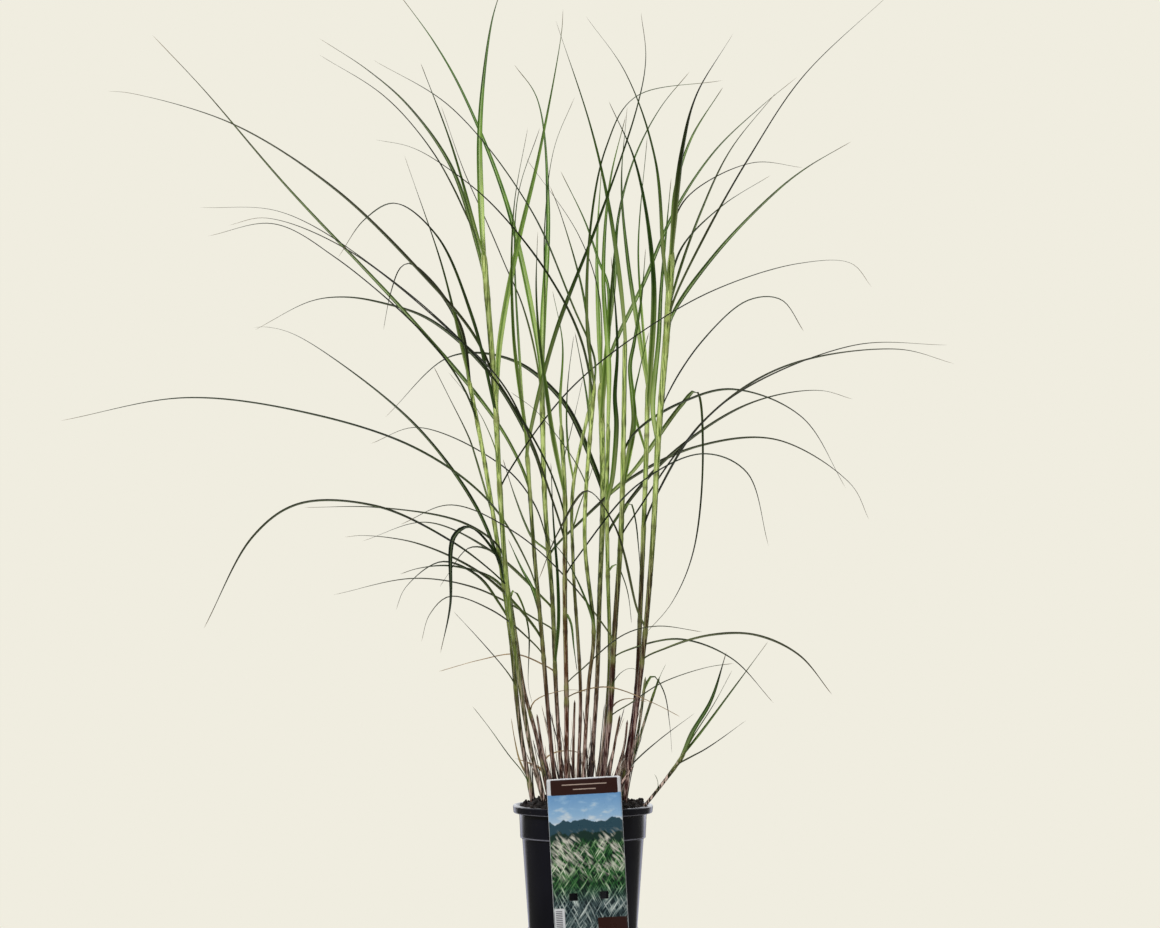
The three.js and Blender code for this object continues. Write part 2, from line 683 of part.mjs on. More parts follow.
function roundedCard() {
  const half = CARD_WIDTH / 2;
  const card = new THREE.Shape();
  card.moveTo(-half + CARD_CORNER, 0);
  card.lineTo(half - CARD_CORNER, 0);
  card.quadraticCurveTo(half, 0, half, CARD_CORNER);
  card.lineTo(half, CARD_HEIGHT);
  card.lineTo(-half, CARD_HEIGHT);
  card.lineTo(-half, CARD_CORNER);
  card.quadraticCurveTo(-half, 0, -half + CARD_CORNER, 0);
  SLOT_PLACES.forEach(([x, z]) => {
    const [w, h] = SLOT_SIZE.map((size) => size / 2);
    card.holes.push(
      new THREE.Path([
        new THREE.Vector2(x - w, z - h),
        new THREE.Vector2(x - w, z + h),
        new THREE.Vector2(x + w, z + h),
        new THREE.Vector2(x + w, z - h),
      ]),
    );
  });
  const geometry = new THREE.ExtrudeGeometry(card, {
    depth: CARD_THICKNESS,
    bevelEnabled: false,
    curveSegments: CURVE_SEGMENTS,
  });
  geometry.rotateX(Math.PI / 2);
  return geometry;
}

// The strip that folds back from behind the card's top and runs down inside the rim.
function tongueGeometry(foot, grow) {
  const outer = FOLD_RADIUS + grow;
  const inner = FOLD_RADIUS - CARD_THICKNESS - grow;
  const strip = new THREE.Shape();
  strip.moveTo(-outer, -TONGUE_ROOT);
  strip.lineTo(-outer, 0);
  strip.absarc(0, 0, outer, Math.PI, 0, true);
  strip.lineTo(outer + TONGUE_LEAN, -foot);
  strip.lineTo(inner + TONGUE_LEAN, -foot);
  strip.lineTo(inner, 0);
  strip.absarc(0, 0, inner, 0, Math.PI, false);
  strip.lineTo(-inner, -TONGUE_ROOT);
  const geometry = new THREE.ExtrudeGeometry(strip, {
    depth: TONGUE_WIDTH + 2 * grow,
    bevelEnabled: false,
    curveSegments: CURVE_SEGMENTS,
  });
  geometry.translate(0, 0, -TONGUE_WIDTH / 2 - grow);
  geometry.rotateZ(Math.PI / 2);
  geometry.rotateY(Math.PI / 2);
  return geometry;
}

const labelFront = -(RIM_RADIUS + CLEARANCE + CARD_THICKNESS);

function tiltLabel(geometry) {
  geometry.rotateY(-CARD_TILT);
  geometry.translate(CARD_SHIFT, 0, CARD_TOP);
  return geometry;
}

function tongue(grow) {
  const geometry = tongueGeometry(CARD_TOP - FOLD_DROP - TONGUE_FOOT + grow, grow);
  geometry.translate(0, labelFront + FOLD_RADIUS, -FOLD_DROP);
  return solidOf(tiltLabel(geometry));
}

function tongueHole() {
  return tongue(CLEARANCE);
}

function label() {
  const card = roundedCard();
  card.translate(0, labelFront + CARD_THICKNESS, -CARD_HEIGHT);
  return solidOf(tiltLabel(card)).add(tongue(0));
}

const stubStems = stubs.map(([depth, ...culm]) => ({ depth, culm, girth: STUB_GIRTH, blades: [] }));

[...stems, ...stubStems].forEach((stem) => {
  const samples = Math.ceil(smoothPath(stem.culm).getLength() / SAMPLE_STEP);
  keepSamples(stem, culmLine(stem, samples), Math.max(...stem.girth) / 2);
});
stems.forEach((stem) => {
  stem.blades = stem.blades.map((drawn) => bendClear(stem, drawn));
});

const grass = new THREE.Group();
grass.add(meshOf("pot", pot(), "pot"));
grass.add(meshOf("soil", soil(), "soil"));
grass.add(meshOf("label", label(), "card"));
stems.forEach((stem, i) => {
  const name = `leafy_stem_${String(i + 1).padStart(2, "0")}`;
  grass.add(meshOf(name, leafyStem(stem), stem.colour));
});
stubStems.forEach((stub, i) => {
  grass.add(meshOf(`stub_${i + 1}`, leafyStem(stub), "tan"));
});

export default grass;
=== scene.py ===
import math
import random

import bmesh
import bpy
import numpy as np
from mathutils import Euler, Matrix, Vector, noise


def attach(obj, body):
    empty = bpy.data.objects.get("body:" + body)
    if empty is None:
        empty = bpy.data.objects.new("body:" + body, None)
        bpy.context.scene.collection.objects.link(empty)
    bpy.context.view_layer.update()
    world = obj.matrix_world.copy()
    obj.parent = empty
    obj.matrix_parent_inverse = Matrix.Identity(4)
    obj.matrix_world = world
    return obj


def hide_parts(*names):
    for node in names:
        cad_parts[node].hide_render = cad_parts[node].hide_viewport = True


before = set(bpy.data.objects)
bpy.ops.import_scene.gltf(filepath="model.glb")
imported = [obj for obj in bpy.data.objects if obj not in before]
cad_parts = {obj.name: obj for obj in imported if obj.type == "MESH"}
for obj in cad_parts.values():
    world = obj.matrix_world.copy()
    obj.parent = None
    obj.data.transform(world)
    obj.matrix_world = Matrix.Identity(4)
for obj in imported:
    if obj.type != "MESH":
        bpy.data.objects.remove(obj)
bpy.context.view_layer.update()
mm = 0.001
weldGap = 0.0005 * mm
print("frame loaded:", len(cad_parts), "solids")


# Helpers for materials: a grain is a noise's scale, stretch, detail and roughness, a fade goes from
# a low to a high value and gives 0 to 1 or its other two values, and a bump has a strength and a
# height in millimetres.

def setInputs(tree, node, values):
    for name, value in values.items():
        socket = node.inputs[name]
        if isinstance(value, bpy.types.NodeSocket):
            tree.links.new(value, socket)
        elif socket.type == "RGBA":
            socket.default_value = (*value, 1)
        else:
            socket.default_value = value


def addNode(tree, kind, values, **settings):
    node = tree.nodes.new(kind)
    for name, value in settings.items():
        setattr(node, name, value)
    setInputs(tree, node, values)
    return node


def newMaterial(name):
    material = bpy.data.materials.new(name)
    material.use_nodes = True
    return material, material.node_tree, material.node_tree.nodes["Principled BSDF"]


def addMath(tree, operation, *values):
    return addNode(tree, "ShaderNodeMath", dict(enumerate(values)), operation=operation).outputs[0]


def multiply(tree, *factors):
    product = factors[0]
    for factor in factors[1:]:
        product = addMath(tree, "MULTIPLY", product, factor)
    return product


def addFade(tree, source, low, high, start=0.0, end=1.0, easing="LINEAR"):
    limits = {"Value": source, "From Min": low, "From Max": high, "To Min": start, "To Max": end}
    return addNode(tree, "ShaderNodeMapRange", limits, interpolation_type=easing).outputs[0]


def addMix(tree, factor, first, second, blend="MIX"):
    values = {0: factor, 6: first, 7: second}  # the places of the colour sockets
    return addNode(tree, "ShaderNodeMix", values, data_type="RGBA", blend_type=blend).outputs[2]


def addRamp(tree, source, stops):
    ramp = addNode(tree, "ShaderNodeValToRGB", {0: source})
    points = ramp.color_ramp.elements
    while len(points) < len(stops):
        points.new(0.5)
    for point, (place, colour) in zip(points, stops):
        point.position = place
        point.color = (*colour, 1)
    return ramp.outputs["Color"]


def readPlace(tree):
    return addNode(tree, "ShaderNodeTexCoord", {}).outputs["Object"]


def readAxes(tree, vector):
    return addNode(tree, "ShaderNodeSeparateXYZ", {0: vector}).outputs


def addGrain(tree, scale, stretch=(1, 1, 1), detail=3.0, rough=0.5):
    fit = addNode(tree, "ShaderNodeMapping", {"Vector": readPlace(tree), "Scale": stretch})
    values = {"Vector": fit.outputs[0], "Scale": scale, "Detail": detail, "Roughness": rough}
    return addNode(tree, "ShaderNodeTexNoise", values).outputs["Fac"]


def addBump(tree, height, strength, distance):
    values = {"Height": height, "Strength": strength, "Distance": distance * mm}
    return addNode(tree, "ShaderNodeBump", values).outputs[0]


def readMarks(tree, names):
    return [addNode(tree, "ShaderNodeAttribute", {}, attribute_name=name).outputs["Fac"] for name in names]


# Camera, light and backdrop

studio = {
    "cameraPlace": (-0.0036, -5.2, 0.5877),
    "cameraTurn": (math.radians(90), 0, 0),
    "lens": 133.1,
    "sensor": 36,
    "paper": (0.871, 0.847, 0.745),
    "nearPaper": (0.52, 0.505, 0.445),
    "paperRoughness": 0.9,
    "floorSize": 60,
    "floorGlow": 0.12,  # how bright the floor looks in reflections
    "upGlow": 0.34,  # and how much more it lights what is above it
    "sideGlow": 0.95,  # how much brighter reflections see it behind the object on both sides
    "sideAngles": [(12, 22), (46, 30)],  # in degrees, where that comes in and where it goes out
    "sideTint": (0.78, 0.80, 1.0),
    "shade": (0.07, 0.25),  # the contact shadow's reach
    "sky": (-0.15, 0.75, 0.09, 1.30),  # brighter from front to back
    "skyTint": (0.93, 0.955, 1.0),
    "lamps": {
        "keyLamp": {"place": (-2.1, -2.6, 2.5), "aim": (0, 0, 0.55), "size": (0.9, 0.9), "power": 85},
        "fillLamp": {"place": (2.4, -2.4, 1.2), "aim": (0, 0, 0.55), "size": (1.0, 1.4), "power": 22},
        "topLamp": {"place": (0.1, 0.3, 3.2), "aim": (0, 0, 0.55), "size": (1.4, 1.4), "power": 40},
        "leftStrip": {"place": (-0.95, 1.32, 0.95), "aim": (0, 0, 0.95), "size": (0.75, 1.9), "power": 5},
        "rightStrip": {"place": (0.95, 1.32, 0.95), "aim": (0, 0, 0.95), "size": (0.75, 1.9), "power": 5},
    },
}


def addCamera():
    bpy.ops.object.camera_add(location=studio["cameraPlace"], rotation=studio["cameraTurn"])
    camera = bpy.context.object
    camera.data.lens = studio["lens"]
    camera.data.sensor_width = studio["sensor"]
    camera.data.sensor_fit = "HORIZONTAL"
    bpy.context.scene.camera = camera


def addLamps():
    for name, lamp in studio["lamps"].items():
        aim = Vector(lamp["aim"]) - Vector(lamp["place"])
        turn = aim.to_track_quat("-Z", "Y").to_euler()
        bpy.ops.object.light_add(type="AREA", location=lamp["place"], rotation=turn)
        light = bpy.context.object
        light.name = name
        light.visible_camera = False
        light.data.shape = "RECTANGLE"
        light.data.size, light.data.size_y = lamp["size"]
        light.data.energy = lamp["power"]


# The camera sees one shader, and all other rays meet the other one
def splitRays(tree, path, other, seen, output):
    values = {0: path.outputs["Is Camera Ray"], 1: other.outputs[0], 2: seen.outputs[0]}
    mix = addNode(tree, "ShaderNodeMixShader", values)
    setInputs(tree, tree.nodes[output], {"Surface": mix.outputs[0]})


def paintSky():
    world = bpy.data.worlds.new("studioSky")
    bpy.context.scene.world = world
    world.use_nodes = True
    tree = world.node_tree
    heading = addNode(tree, "ShaderNodeTexCoord", {}).outputs["Generated"]
    strength = addFade(tree, readAxes(tree, heading)["Y"], *studio["sky"], easing="SMOOTHSTEP")
    lit = addNode(tree, "ShaderNodeBackground", {"Color": studio["skyTint"], "Strength": strength})
    seen = addNode(tree, "ShaderNodeBackground", {"Color": studio["paper"]})
    splitRays(tree, addNode(tree, "ShaderNodeLightPath", {}), lit, seen, "World Output")


def addFloor():
    bpy.ops.mesh.primitive_plane_add(size=studio["floorSize"])
    floor = bpy.context.object
    floor.name = "studioFloor"
    material, tree, matte = newMaterial("studioPaper")
    setInputs(tree, matte, {"Base Color": studio["nearPaper"], "Roughness": studio["paperRoughness"]})
    place = readPlace(tree)
    path = addNode(tree, "ShaderNodeLightPath", {})
    x, y, _ = readAxes(tree, place)
    angle = addMath(tree, "ABSOLUTE", addMath(tree, "ARCTAN2", x, y))
    sides = [addFade(tree, angle, *map(math.radians, angles)) for angles in studio["sideAngles"]]
    mirrored = multiply(tree, *sides, path.outputs["Is Glossy Ray"])
    upward = path.outputs["Is Diffuse Ray"]
    plain = addMath(tree, "MULTIPLY_ADD", upward, studio["upGlow"], studio["floorGlow"])
    strength = addMath(tree, "MULTIPLY_ADD", mirrored, studio["sideGlow"], plain)
    tint = addMix(tree, mirrored, studio["paper"], studio["sideTint"])
    glow = addNode(tree, "ShaderNodeEmission", {"Color": tint, "Strength": strength})
    reach = addNode(tree, "ShaderNodeVectorMath", {0: place}, operation="LENGTH").outputs["Value"]
    away = addFade(tree, reach, *studio["shade"], easing="SMOOTHSTEP")
    bare = addNode(tree, "ShaderNodeEmission", {"Color": studio["paper"]})
    seen = addNode(tree, "ShaderNodeMixShader", {0: away, 1: matte.outputs[0], 2: bare.outputs[0]})
    splitRays(tree, path, glow, seen, "Material Output")
    floor.data.materials.append(material)


bpy.context.scene.view_settings.view_transform = "Standard"
addCamera()
addLamps()
paintSky()
addFloor()
print("camera, light and backdrop ready")


# Helpers for shapes

def unit(vectors):
    return vectors / np.linalg.norm(vectors, axis=-1, keepdims=True)


def smoothStep(value, low, high):
    share = np.clip((value - low) / (high - low), 0, 1)
    return share * share * (3 - 2 * share)


def finishPiece(bm, name, material, replaced=(), crease=50, isClosed=True):
    if isClosed:
        bmesh.ops.recalc_face_normals(bm, faces=bm.faces)
    for face in bm.faces:
        face.smooth = True
    mesh = bpy.data.meshes.new(name)
    bm.to_mesh(mesh)
    bm.free()
    mesh.materials.append(material)
    mesh.set_sharp_from_angle(angle=math.radians(crease))
    piece = bpy.data.objects.new(name, mesh)
    bpy.context.scene.collection.objects.link(piece)
    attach(piece, "root")
    if replaced:
        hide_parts(*replaced)
    return piece


def spinOutline(outline, steps):
    bm = bmesh.new()
    points = [bm.verts.new((radius * mm, 0, height * mm)) for radius, height in outline]
    edges = [bm.edges.new(pair) for pair in zip(points, points[1:])]
    bmesh.ops.spin(bm, geom=points + edges, axis=(0, 0, 1), cent=(0, 0, 0), dvec=(0, 0, 0),
                   angle=2 * math.pi, steps=steps, use_merge=True, use_duplicate=False)
    bmesh.ops.remove_doubles(bm, verts=bm.verts, dist=weldGap)
    return bm


def newMarked(names):
    bm = bmesh.new()
    for name in names:
        bm.verts.layers.float.new(name)
    return bm


def capRoots(bm):
    bmesh.ops.holes_fill(bm, edges=[edge for edge in bm.edges if edge.is_boundary], sides=0)


# Rolls a flat grid into a closed tube through rings of points, and keeps marks for the material
def rollGrid(bm, rings, marks):
    count, around = rings.shape[:2]
    grid = bmesh.ops.create_grid(bm, x_segments=count - 1, y_segments=around, size=1)["verts"]
    layers = {name: bm.verts.layers.float[name] for name in marks}
    for vert in grid:
        row = round((vert.co.x + 1) / 2 * (count - 1))
        column = round((vert.co.y + 1) / 2 * around) % around
        vert.co = rings[row, column] * mm
        for name, values in marks.items():
            vert[layers[name]] = values[row, column]
    bmesh.ops.remove_doubles(bm, verts=grid, dist=weldGap)


# Nursery pot

nurseryPot = {
    "outline": [  # radius, height and rounding, from the foot's middle up the outside and down inside
        (0, 0, 0), (65, 0, 1.2), (66.6, 3, 1), (67.1, 24.8, 0.5), (66.1, 26.6, 0.8), (73.6, 134, 0.8),
        (76, 135.2, 0.7), (77.3, 165.3, 0.8), (83.7, 165.6, 0.4), (84.3, 166.6, 0.5), (85, 173.6, 0.5),
        (84.1, 174.8, 0.5), (81, 175, 0.6), (79.2, 172.6, 1.5), (76.3, 163, 2), (74.7, 137, 1), (73, 134, 1),
        (64.7, 27, 2), (63, 2.4, 1), (0, 2.4, 0),
    ],
    "arcSegments": 4,
    "arcHold": 0.3,  # a short flat on both sides of each arc
    "steps": 128,
    "crease": 40,
    "drains": 8,
    "drainRadius": 5,
    "drainCircle": 48,
    "drainSides": 24,
    "drillLength": 16,
    "black": (0.0042, 0.0044, 0.0088),
    "worn": (0.0090, 0.0092, 0.0165),
    "dust": (0.10, 0.078, 0.055),
    "edgeHighlights": [(136.3, 1.1), (166.2, 0.6)],  # heights and half widths of the painted highlight lines at the collar's step and below the rim's top
    # the colour of those painted highlight lines
    "edgeHighlightColour": (0.30, 0.30, 0.36),
    "haze": (26, (1, 1, 0.35), 4),
    "scuffs": (900, (1, 1, 0.12), 2),
    "grime": (260, (1, 1, 1), 4, 0.65),
    "skin": (300, (1, 1, 0.5), 2),
    "wornFade": (0.42, 0.72),
    # how the grime noise breaks up the painted highlight lines
    "edgeFade": (0.3, 0.6, 0.5, 1),
    "dustFade": (0.60, 0.72),
    "dustHeights": [(0.150, 0.176), (0.030, 0.0)],  # up the rim and down to the foot
    "dustRoughness": 0.5,
    "roughness": (0.35, 0.75, 0.11, 0.20),
    "scuffRoughness": (0.5, 0.8, 0, 0.08),
    "bump": (0.18, 0.10),
}


# A smooth outline through corners that have a rounding each
def roundCorners(corners):
    points = []
    padded = [corners[0], *corners, corners[-1]]
    for before, (radius, height, rounding), after in zip(padded, corners, padded[2:]):
        corner = np.array([radius, height], float)
        if not rounding:
            points.append(corner)
            continue
        back, ahead = (unit(np.array(other[:2], float) - corner) for other in (before, after))
        reach = rounding / math.tan(math.acos(float(np.clip(back @ ahead, -1, 1))) / 2)
        start, end = corner + back * reach, corner + ahead * reach
        share = np.linspace(0, 1, nurseryPot["arcSegments"] + 1)[:, None]
        curve = (1 - share) ** 2 * start + 2 * share * (1 - share) * corner + share**2 * end
        points += [start + back * nurseryPot["arcHold"], *curve, end + ahead * nurseryPot["arcHold"]]
    return [tuple(map(float, point)) for point in points]


def makePotMaterial():
    form = nurseryPot
    material, tree, shader = newMaterial("blackPotPlastic")
    haze, scuffs, grime, skin = (addGrain(tree, *form[name]) for name in ("haze", "scuffs", "grime", "skin"))
    height = readAxes(tree, readPlace(tree))["Z"]
    ends = addMath(tree, "MAXIMUM", *(addFade(tree, height, *limits) for limits in form["dustHeights"]))
    dusty = multiply(tree, addFade(tree, grime, *form["dustFade"]), ends)
    plastic = addMix(tree, addFade(tree, haze, *form["wornFade"]), form["black"], form["worn"])
    # Painted highlights: pale lines along the collar's step and below the rim's top, broken up by the grime
    # noise
    for level, half in form["edgeHighlights"]:
        away = addMath(tree, "ABSOLUTE", addMath(tree, "SUBTRACT", height, level * mm))
        edge = multiply(tree, addFade(tree, away, half * mm, 0.0), addFade(tree, grime, *form["edgeFade"]))
        plastic = addMix(tree, edge, plastic, form["edgeHighlightColour"])
    streaks = addFade(tree, scuffs, *form["scuffRoughness"])
    clean = addMath(tree, "ADD", addFade(tree, haze, *form["roughness"]), streaks)
    setInputs(tree, shader, {
        "Base Color": addMix(tree, dusty, plastic, form["dust"]),
        "Roughness": addMath(tree, "MULTIPLY_ADD", dusty, form["dustRoughness"], clean),
        "Normal": addBump(tree, skin, *form["bump"]),
    })
    return material


def drillDrains(pot):
    form = nurseryPot
    radius = form["drainRadius"] * mm
    drill = bmesh.new()
    for i in range(form["drains"]):
        turn = Matrix.Rotation(2 * math.pi * (i + 0.5) / form["drains"], 4, "Z")
        place = turn @ Matrix.Translation((form["drainCircle"] * mm, 0, 0))
        bmesh.ops.create_cone(drill, cap_ends=True, segments=form["drainSides"], radius1=radius,
                              radius2=radius, depth=form["drillLength"] * mm, matrix=place)
    mesh = bpy.data.meshes.new("drainDrill")
    drill.to_mesh(mesh)
    drill.free()
    piece = bpy.data.objects.new("drainDrill", mesh)
    bpy.context.scene.collection.objects.link(piece)
    cut = pot.modifiers.new("drainHoles", "BOOLEAN")
    cut.object = piece
    cut.solver = "EXACT"
    bpy.context.view_layer.objects.active = pot
    bpy.ops.object.modifier_apply(modifier=cut.name)
    bpy.data.objects.remove(piece)


shell = spinOutline(roundCorners(nurseryPot["outline"]), nurseryPot["steps"])
drillDrains(finishPiece(shell, "nurseryPot", makePotMaterial(), ["pot"], nurseryPot["crease"]))
print("pot ready")


# Potting soil

pottingSoil = {
    "side": [(0, 2.75), (62.4, 2.75), (63.6, 27), (71.5, 135), (73.5, 136), (75, 164), (77.5, 168)],
    "topRadius": 77.5,
    "rings": 46,
    "steps": 150,
    "edge": 173,
    "mound": 16,
    "moundRadius": 80,
    "moundPower": 1.2,
    "ripple": 1.3,
    "waves": [(0.31, 1.3, 0.23), (0.37, 1.7, 0.19)],
    "clods": 3.4,  # how far noise lifts the surface
    "clodLayers": [(0.16, 3.1, 1), (0.42, 7.7, 0.75)],  # scale, slice and share
    "seed": 5,
    "crumbs": 1100,
    "chips": 150,
    "reach": 75.5,
    "crumbSize": (0.8, 3.1),
    "chipSize": (0.9, 1.6),
    "uneven": (0.6, 1),
    "crumbLength": (0.8, 1.5),
    "chipLength": (2.5, 5),
    "chipThickness": 0.5,
    "crumbLean": 1.5,
    "chipLean": 0.35,
    "spins": (0, 6.28),
    "rise": (-0.1, 0.45),
    "rough": 0.35,
    "roughScale": 900,
    "dark": (0.0035, 0.0024, 0.0020),
    "brown": (0.020, 0.012, 0.009),
    "fibre": (0.13, 0.080, 0.048),
    "roughness": 0.92,
    "lumps": (130, (1, 1, 1), 5, 0.65),
    "specks": (620, (1, 1, 1), 2),
    "grain": (900, (1, 1, 1), 3),
    "lumpPlaces": (0.36, 0.70),
    "fibreFade": (0.62, 0.74),
    "soilFibres": 0.35,
    "crumbFibres": 0.9,
    "bump": (0.8, 0.9),
}


def roughHeight(x, y):
    form = pottingSoil
    share = min(1, math.hypot(x, y) / form["moundRadius"])
    mound = form["mound"] * math.cos(share * math.pi / 2) ** form["moundPower"]
    (waveX, pushX, driftX), (waveY, pushY, driftY) = form["waves"]
    ripple = math.sin(x * waveX + pushX * math.sin(y * driftX))
    ripple += math.sin(y * waveY + pushY * math.sin(x * driftY))
    clods = sum(part * noise.noise((x * scale, y * scale, layer))
                for scale, layer, part in form["clodLayers"])
    return form["edge"] + mound + form["ripple"] * ripple + form["clods"] * clods


def makeSoilMaterial(name, fibres):
    form = pottingSoil
    material, tree, shader = newMaterial(name)
    lumps, specks, grain = (addGrain(tree, *form[part]) for part in ("lumps", "specks", "grain"))
    base = addRamp(tree, lumps, list(zip(form["lumpPlaces"], (form["dark"], form["brown"]))))
    light = multiply(tree, addFade(tree, specks, *form["fibreFade"]), fibres)
    setInputs(tree, shader, {
        "Base Color": addMix(tree, light, base, form["fibre"]),
        "Roughness": form["roughness"],
        "Normal": addBump(tree, addMath(tree, "ADD", grain, lumps), *form["bump"]),
    })
    return material


def addSoil():
    form = pottingSoil
    inward = np.linspace(1, 0, form["rings"] + 1)[1:]
    top = [(form["topRadius"] * float(share), form["edge"]) for share in inward]
    bm = spinOutline(form["side"] + top, form["steps"])
    sideTop = form["side"][-1][1]
    for vert in bm.verts:
        if vert.co.z > (sideTop + 1) * mm:
            vert.co.z = roughHeight(vert.co.x / mm, vert.co.y / mm) * mm
    material = makeSoilMaterial("pottingSoil", form["soilFibres"])
    finishPiece(bm, "pottingSoil", material, ["soil"], crease=180)


# Loose crumbs, and longer bark chips, lie half sunk in the soil
def addCrumbs():
    form = pottingSoil
    draw = random.Random(form["seed"])
    bm = bmesh.new()
    for i in range(form["crumbs"] + form["chips"]):
        radius = form["reach"] * math.sqrt(draw.random())
        turn = draw.uniform(0, 2 * math.pi)
        x, y = radius * math.cos(turn), radius * math.sin(turn)
        if i >= form["crumbs"]:
            size = draw.uniform(*form["chipSize"])
            stretch = (draw.uniform(*form["chipLength"]), 1, form["chipThickness"])
            lean = form["chipLean"]
        else:
            size = draw.uniform(*form["crumbSize"]) * draw.uniform(*form["uneven"])
            stretch = (draw.uniform(*form["crumbLength"]), 1, draw.uniform(*form["uneven"]))
            lean = form["crumbLean"]
        spin = Euler((draw.uniform(-lean, lean), draw.uniform(-lean, lean), draw.uniform(*form["spins"])))
        height = roughHeight(x, y) + size * draw.uniform(*form["rise"])
        matrix = Matrix.LocRotScale(Vector((x, y, height)) * mm, spin, Vector(stretch))
        shape = bmesh.ops.create_icosphere(bm, subdivisions=1, radius=size * mm, matrix=matrix)
        for vert in shape["verts"]:
            vert.co += noise.noise_vector(vert.co * form["roughScale"]) * form["rough"] * size * mm
    material = makeSoilMaterial("soilCrumbs", form["crumbFibres"])
    finishPiece(bm, "soilCrumbs", material, crease=30)


addSoil()
addCrumbs()
print("soil ready")


# Plant label: a laminated card on the rim, with two slots and a tongue that folds back into the soil

plantLabel = {
    "width": 88.5,
    "height": 192,
    "top": 213.8,
    "shift": 0.3,
    "tilt": math.radians(3.2),
    "front": -86.15,
    "thickness": 0.8,
    "corner": 2.4,
    "cornerSegments": 5,
    "columns": 24,
    "rows": 50,
    "slots": [(-19.5, -141.6), (17.3, -141.1)],
    "slotSize": (10, 9),
    "curl": 1.3,  # how far the side edges come forward
    "swing": 2.2,  # how far the lower edge comes forward
    "border": (0.80, 0.81, 0.84),
    "back": (0.74, 0.76, 0.76),
    "cardGloss": (40,),
    "cardCockle": (60, (1, 1, 1), 2),
    "cardRoughness": (0.3, 0.7, 0.22, 0.36),
    "cardBump": (0.25, 0.25),
    "backFibres": (300, (1, 1, 1), 4),
    "backRoughness": (0.3, 0.7, 0.36, 0.5),
    "backBump": (0.2, 0.1),
}

labelTongue = {
    "width": 30,
    "root": -15,
    "fold": -9,
    "radius": 3.575,
    "foot": -75.8,
    "lean": 12,
    "gap": 0.05,
    "columns": 6,
    "bends": 16,
    "steps": 10,
}

labelPrint = {  # lengths are millimetres on the card, with heights below its top edge
    "inks": {"brown": (0.038, 0.0115, 0.0085), "rule": (0.55, 0.43, 0.36), "blank": (0.80, 0.81, 0.84),
             "bar": (0.10, 0.10, 0.12)},
    "boxes": [  # left, right, low and high edge, corner and ink, from the first printed to the last
        (-43.9, 43.9, -191.6, -19.2, 1.0, "picture"),
        (-39.7, 40.3, -19.9, -1.4, 1.6, "brown"),
        (-26, 27, -8.2, -7.4, 0.0, "rule"),
        (-13, 14, -13.9, -13.1, 0.0, "rule"),
        (8, 43.2, -190.6, -167.4, 0.6, "brown"),
        (-43.2, -31, -190.6, -154.5, 1.6, "blank"),
        (-41.5, -34, -190.6, -157.5, 0.0, "bars"),
    ],
    "blur": 0.35,
    "barWave": 2.9,
    "barFade": (-0.3, 0.3),
    "sky": [(0.0, (0.78, 0.88, 0.95)), (0.45, (0.34, 0.58, 0.86)), (1.0, (0.16, 0.38, 0.72))],
    "farHill": (0.030, 0.085, 0.120),
    "nearHill": (0.012, 0.040, 0.030),
    "meadow": [(0.16, (0.003, 0.016, 0.009)), (0.40, (0.020, 0.125, 0.030)), (0.64, (0.16, 0.33, 0.13)),
               (0.88, (0.86, 0.90, 0.74))],
    "dusk": [(0.16, (0.010, 0.022, 0.028)), (0.42, (0.095, 0.150, 0.155)), (0.88, (0.74, 0.82, 0.78))],
    "blossom": (0.62, 0.60, 0.52),
    "plume": (0.80, 0.78, 0.68),
    "grains": {  # scale, stretch, detail and turn
        "clouds": (0.06, (1, 1, 2.4), 3, 0),
        "farRidge": (0.045, (1, 1, 0.05), 4, 0),
        "nearRidge": (0.075, (1, 1, 0.05), 6, 0),
        "fieldEdge": (0.10, (1, 1, 0.1), 5, 0),
        "leftLeaves": (0.50, (1, 1, 0.10), 2, 0.42),
        "rightLeaves": (0.46, (1, 1, 0.09), 2, -0.62),
        "sun": (0.05, (1, 1, 1), 3, 0),
        "patches": (0.04, (1, 1, 1), 3, 0),
        "feathers": (0.34, (1, 1, 0.2), 4, 0.75),
        "tufts": (0.05, (1, 1, 0.7), 2, 0),
    },
    "cellScale": 0.16,
    "sunShare": 0.6,
    "ridges": {"farRidge": (-52, 30, 0.5), "nearRidge": (-66, 26, 0.5), "fieldEdge": (-76, 22, 2.5)},
    "fades": {  # what each one reads, and its limits
        "sky": ("height", -66, -18),
        "clouds": ("clouds", 0.5, 0.75, 0, -0.5),
        "strokes": ("leaves", 0.42, 0.76, -0.30, 0.70),
        "dots": ("cells", 0.30, 0.16),
        "dotPatches": ("patches", 0.47, 0.55),
        "dotLeaves": ("leaves", 0.40, 0.62),
        "dotTop": ("height", -68, -78),
        "dotFoot": ("height", -132, -112),
        "feathers": ("feathers", 0.45, 0.60),
        "tufts": ("tufts", 0.44, 0.52),
        "plumeTop": ("height", -60, -72),
        "plumeFoot": ("height", -126, -96, 0, 0.9),
        "dusk": ("height", -128, -150),
    },
}


# A soft mask that is 1 inside a box with rounded corners
def boxMask(tree, x, z, box, corner):
    left, right, low, high = box
    beyond = []
    for value, start, end in ((x, left, right), (z, low, high)):
        offset = addMath(tree, "ABSOLUTE", addMath(tree, "SUBTRACT", value, (start + end) / 2))
        inner = (end - start) / 2 - corner
        beyond.append(addMath(tree, "MAXIMUM", addMath(tree, "SUBTRACT", offset, inner), 0.0))
    away = addMath(tree, "SQRT", addMath(tree, "ADD", *(multiply(tree, value, value) for value in beyond)))
    return addFade(tree, away, corner + labelPrint["blur"], corner - labelPrint["blur"] if corner else 0.0)


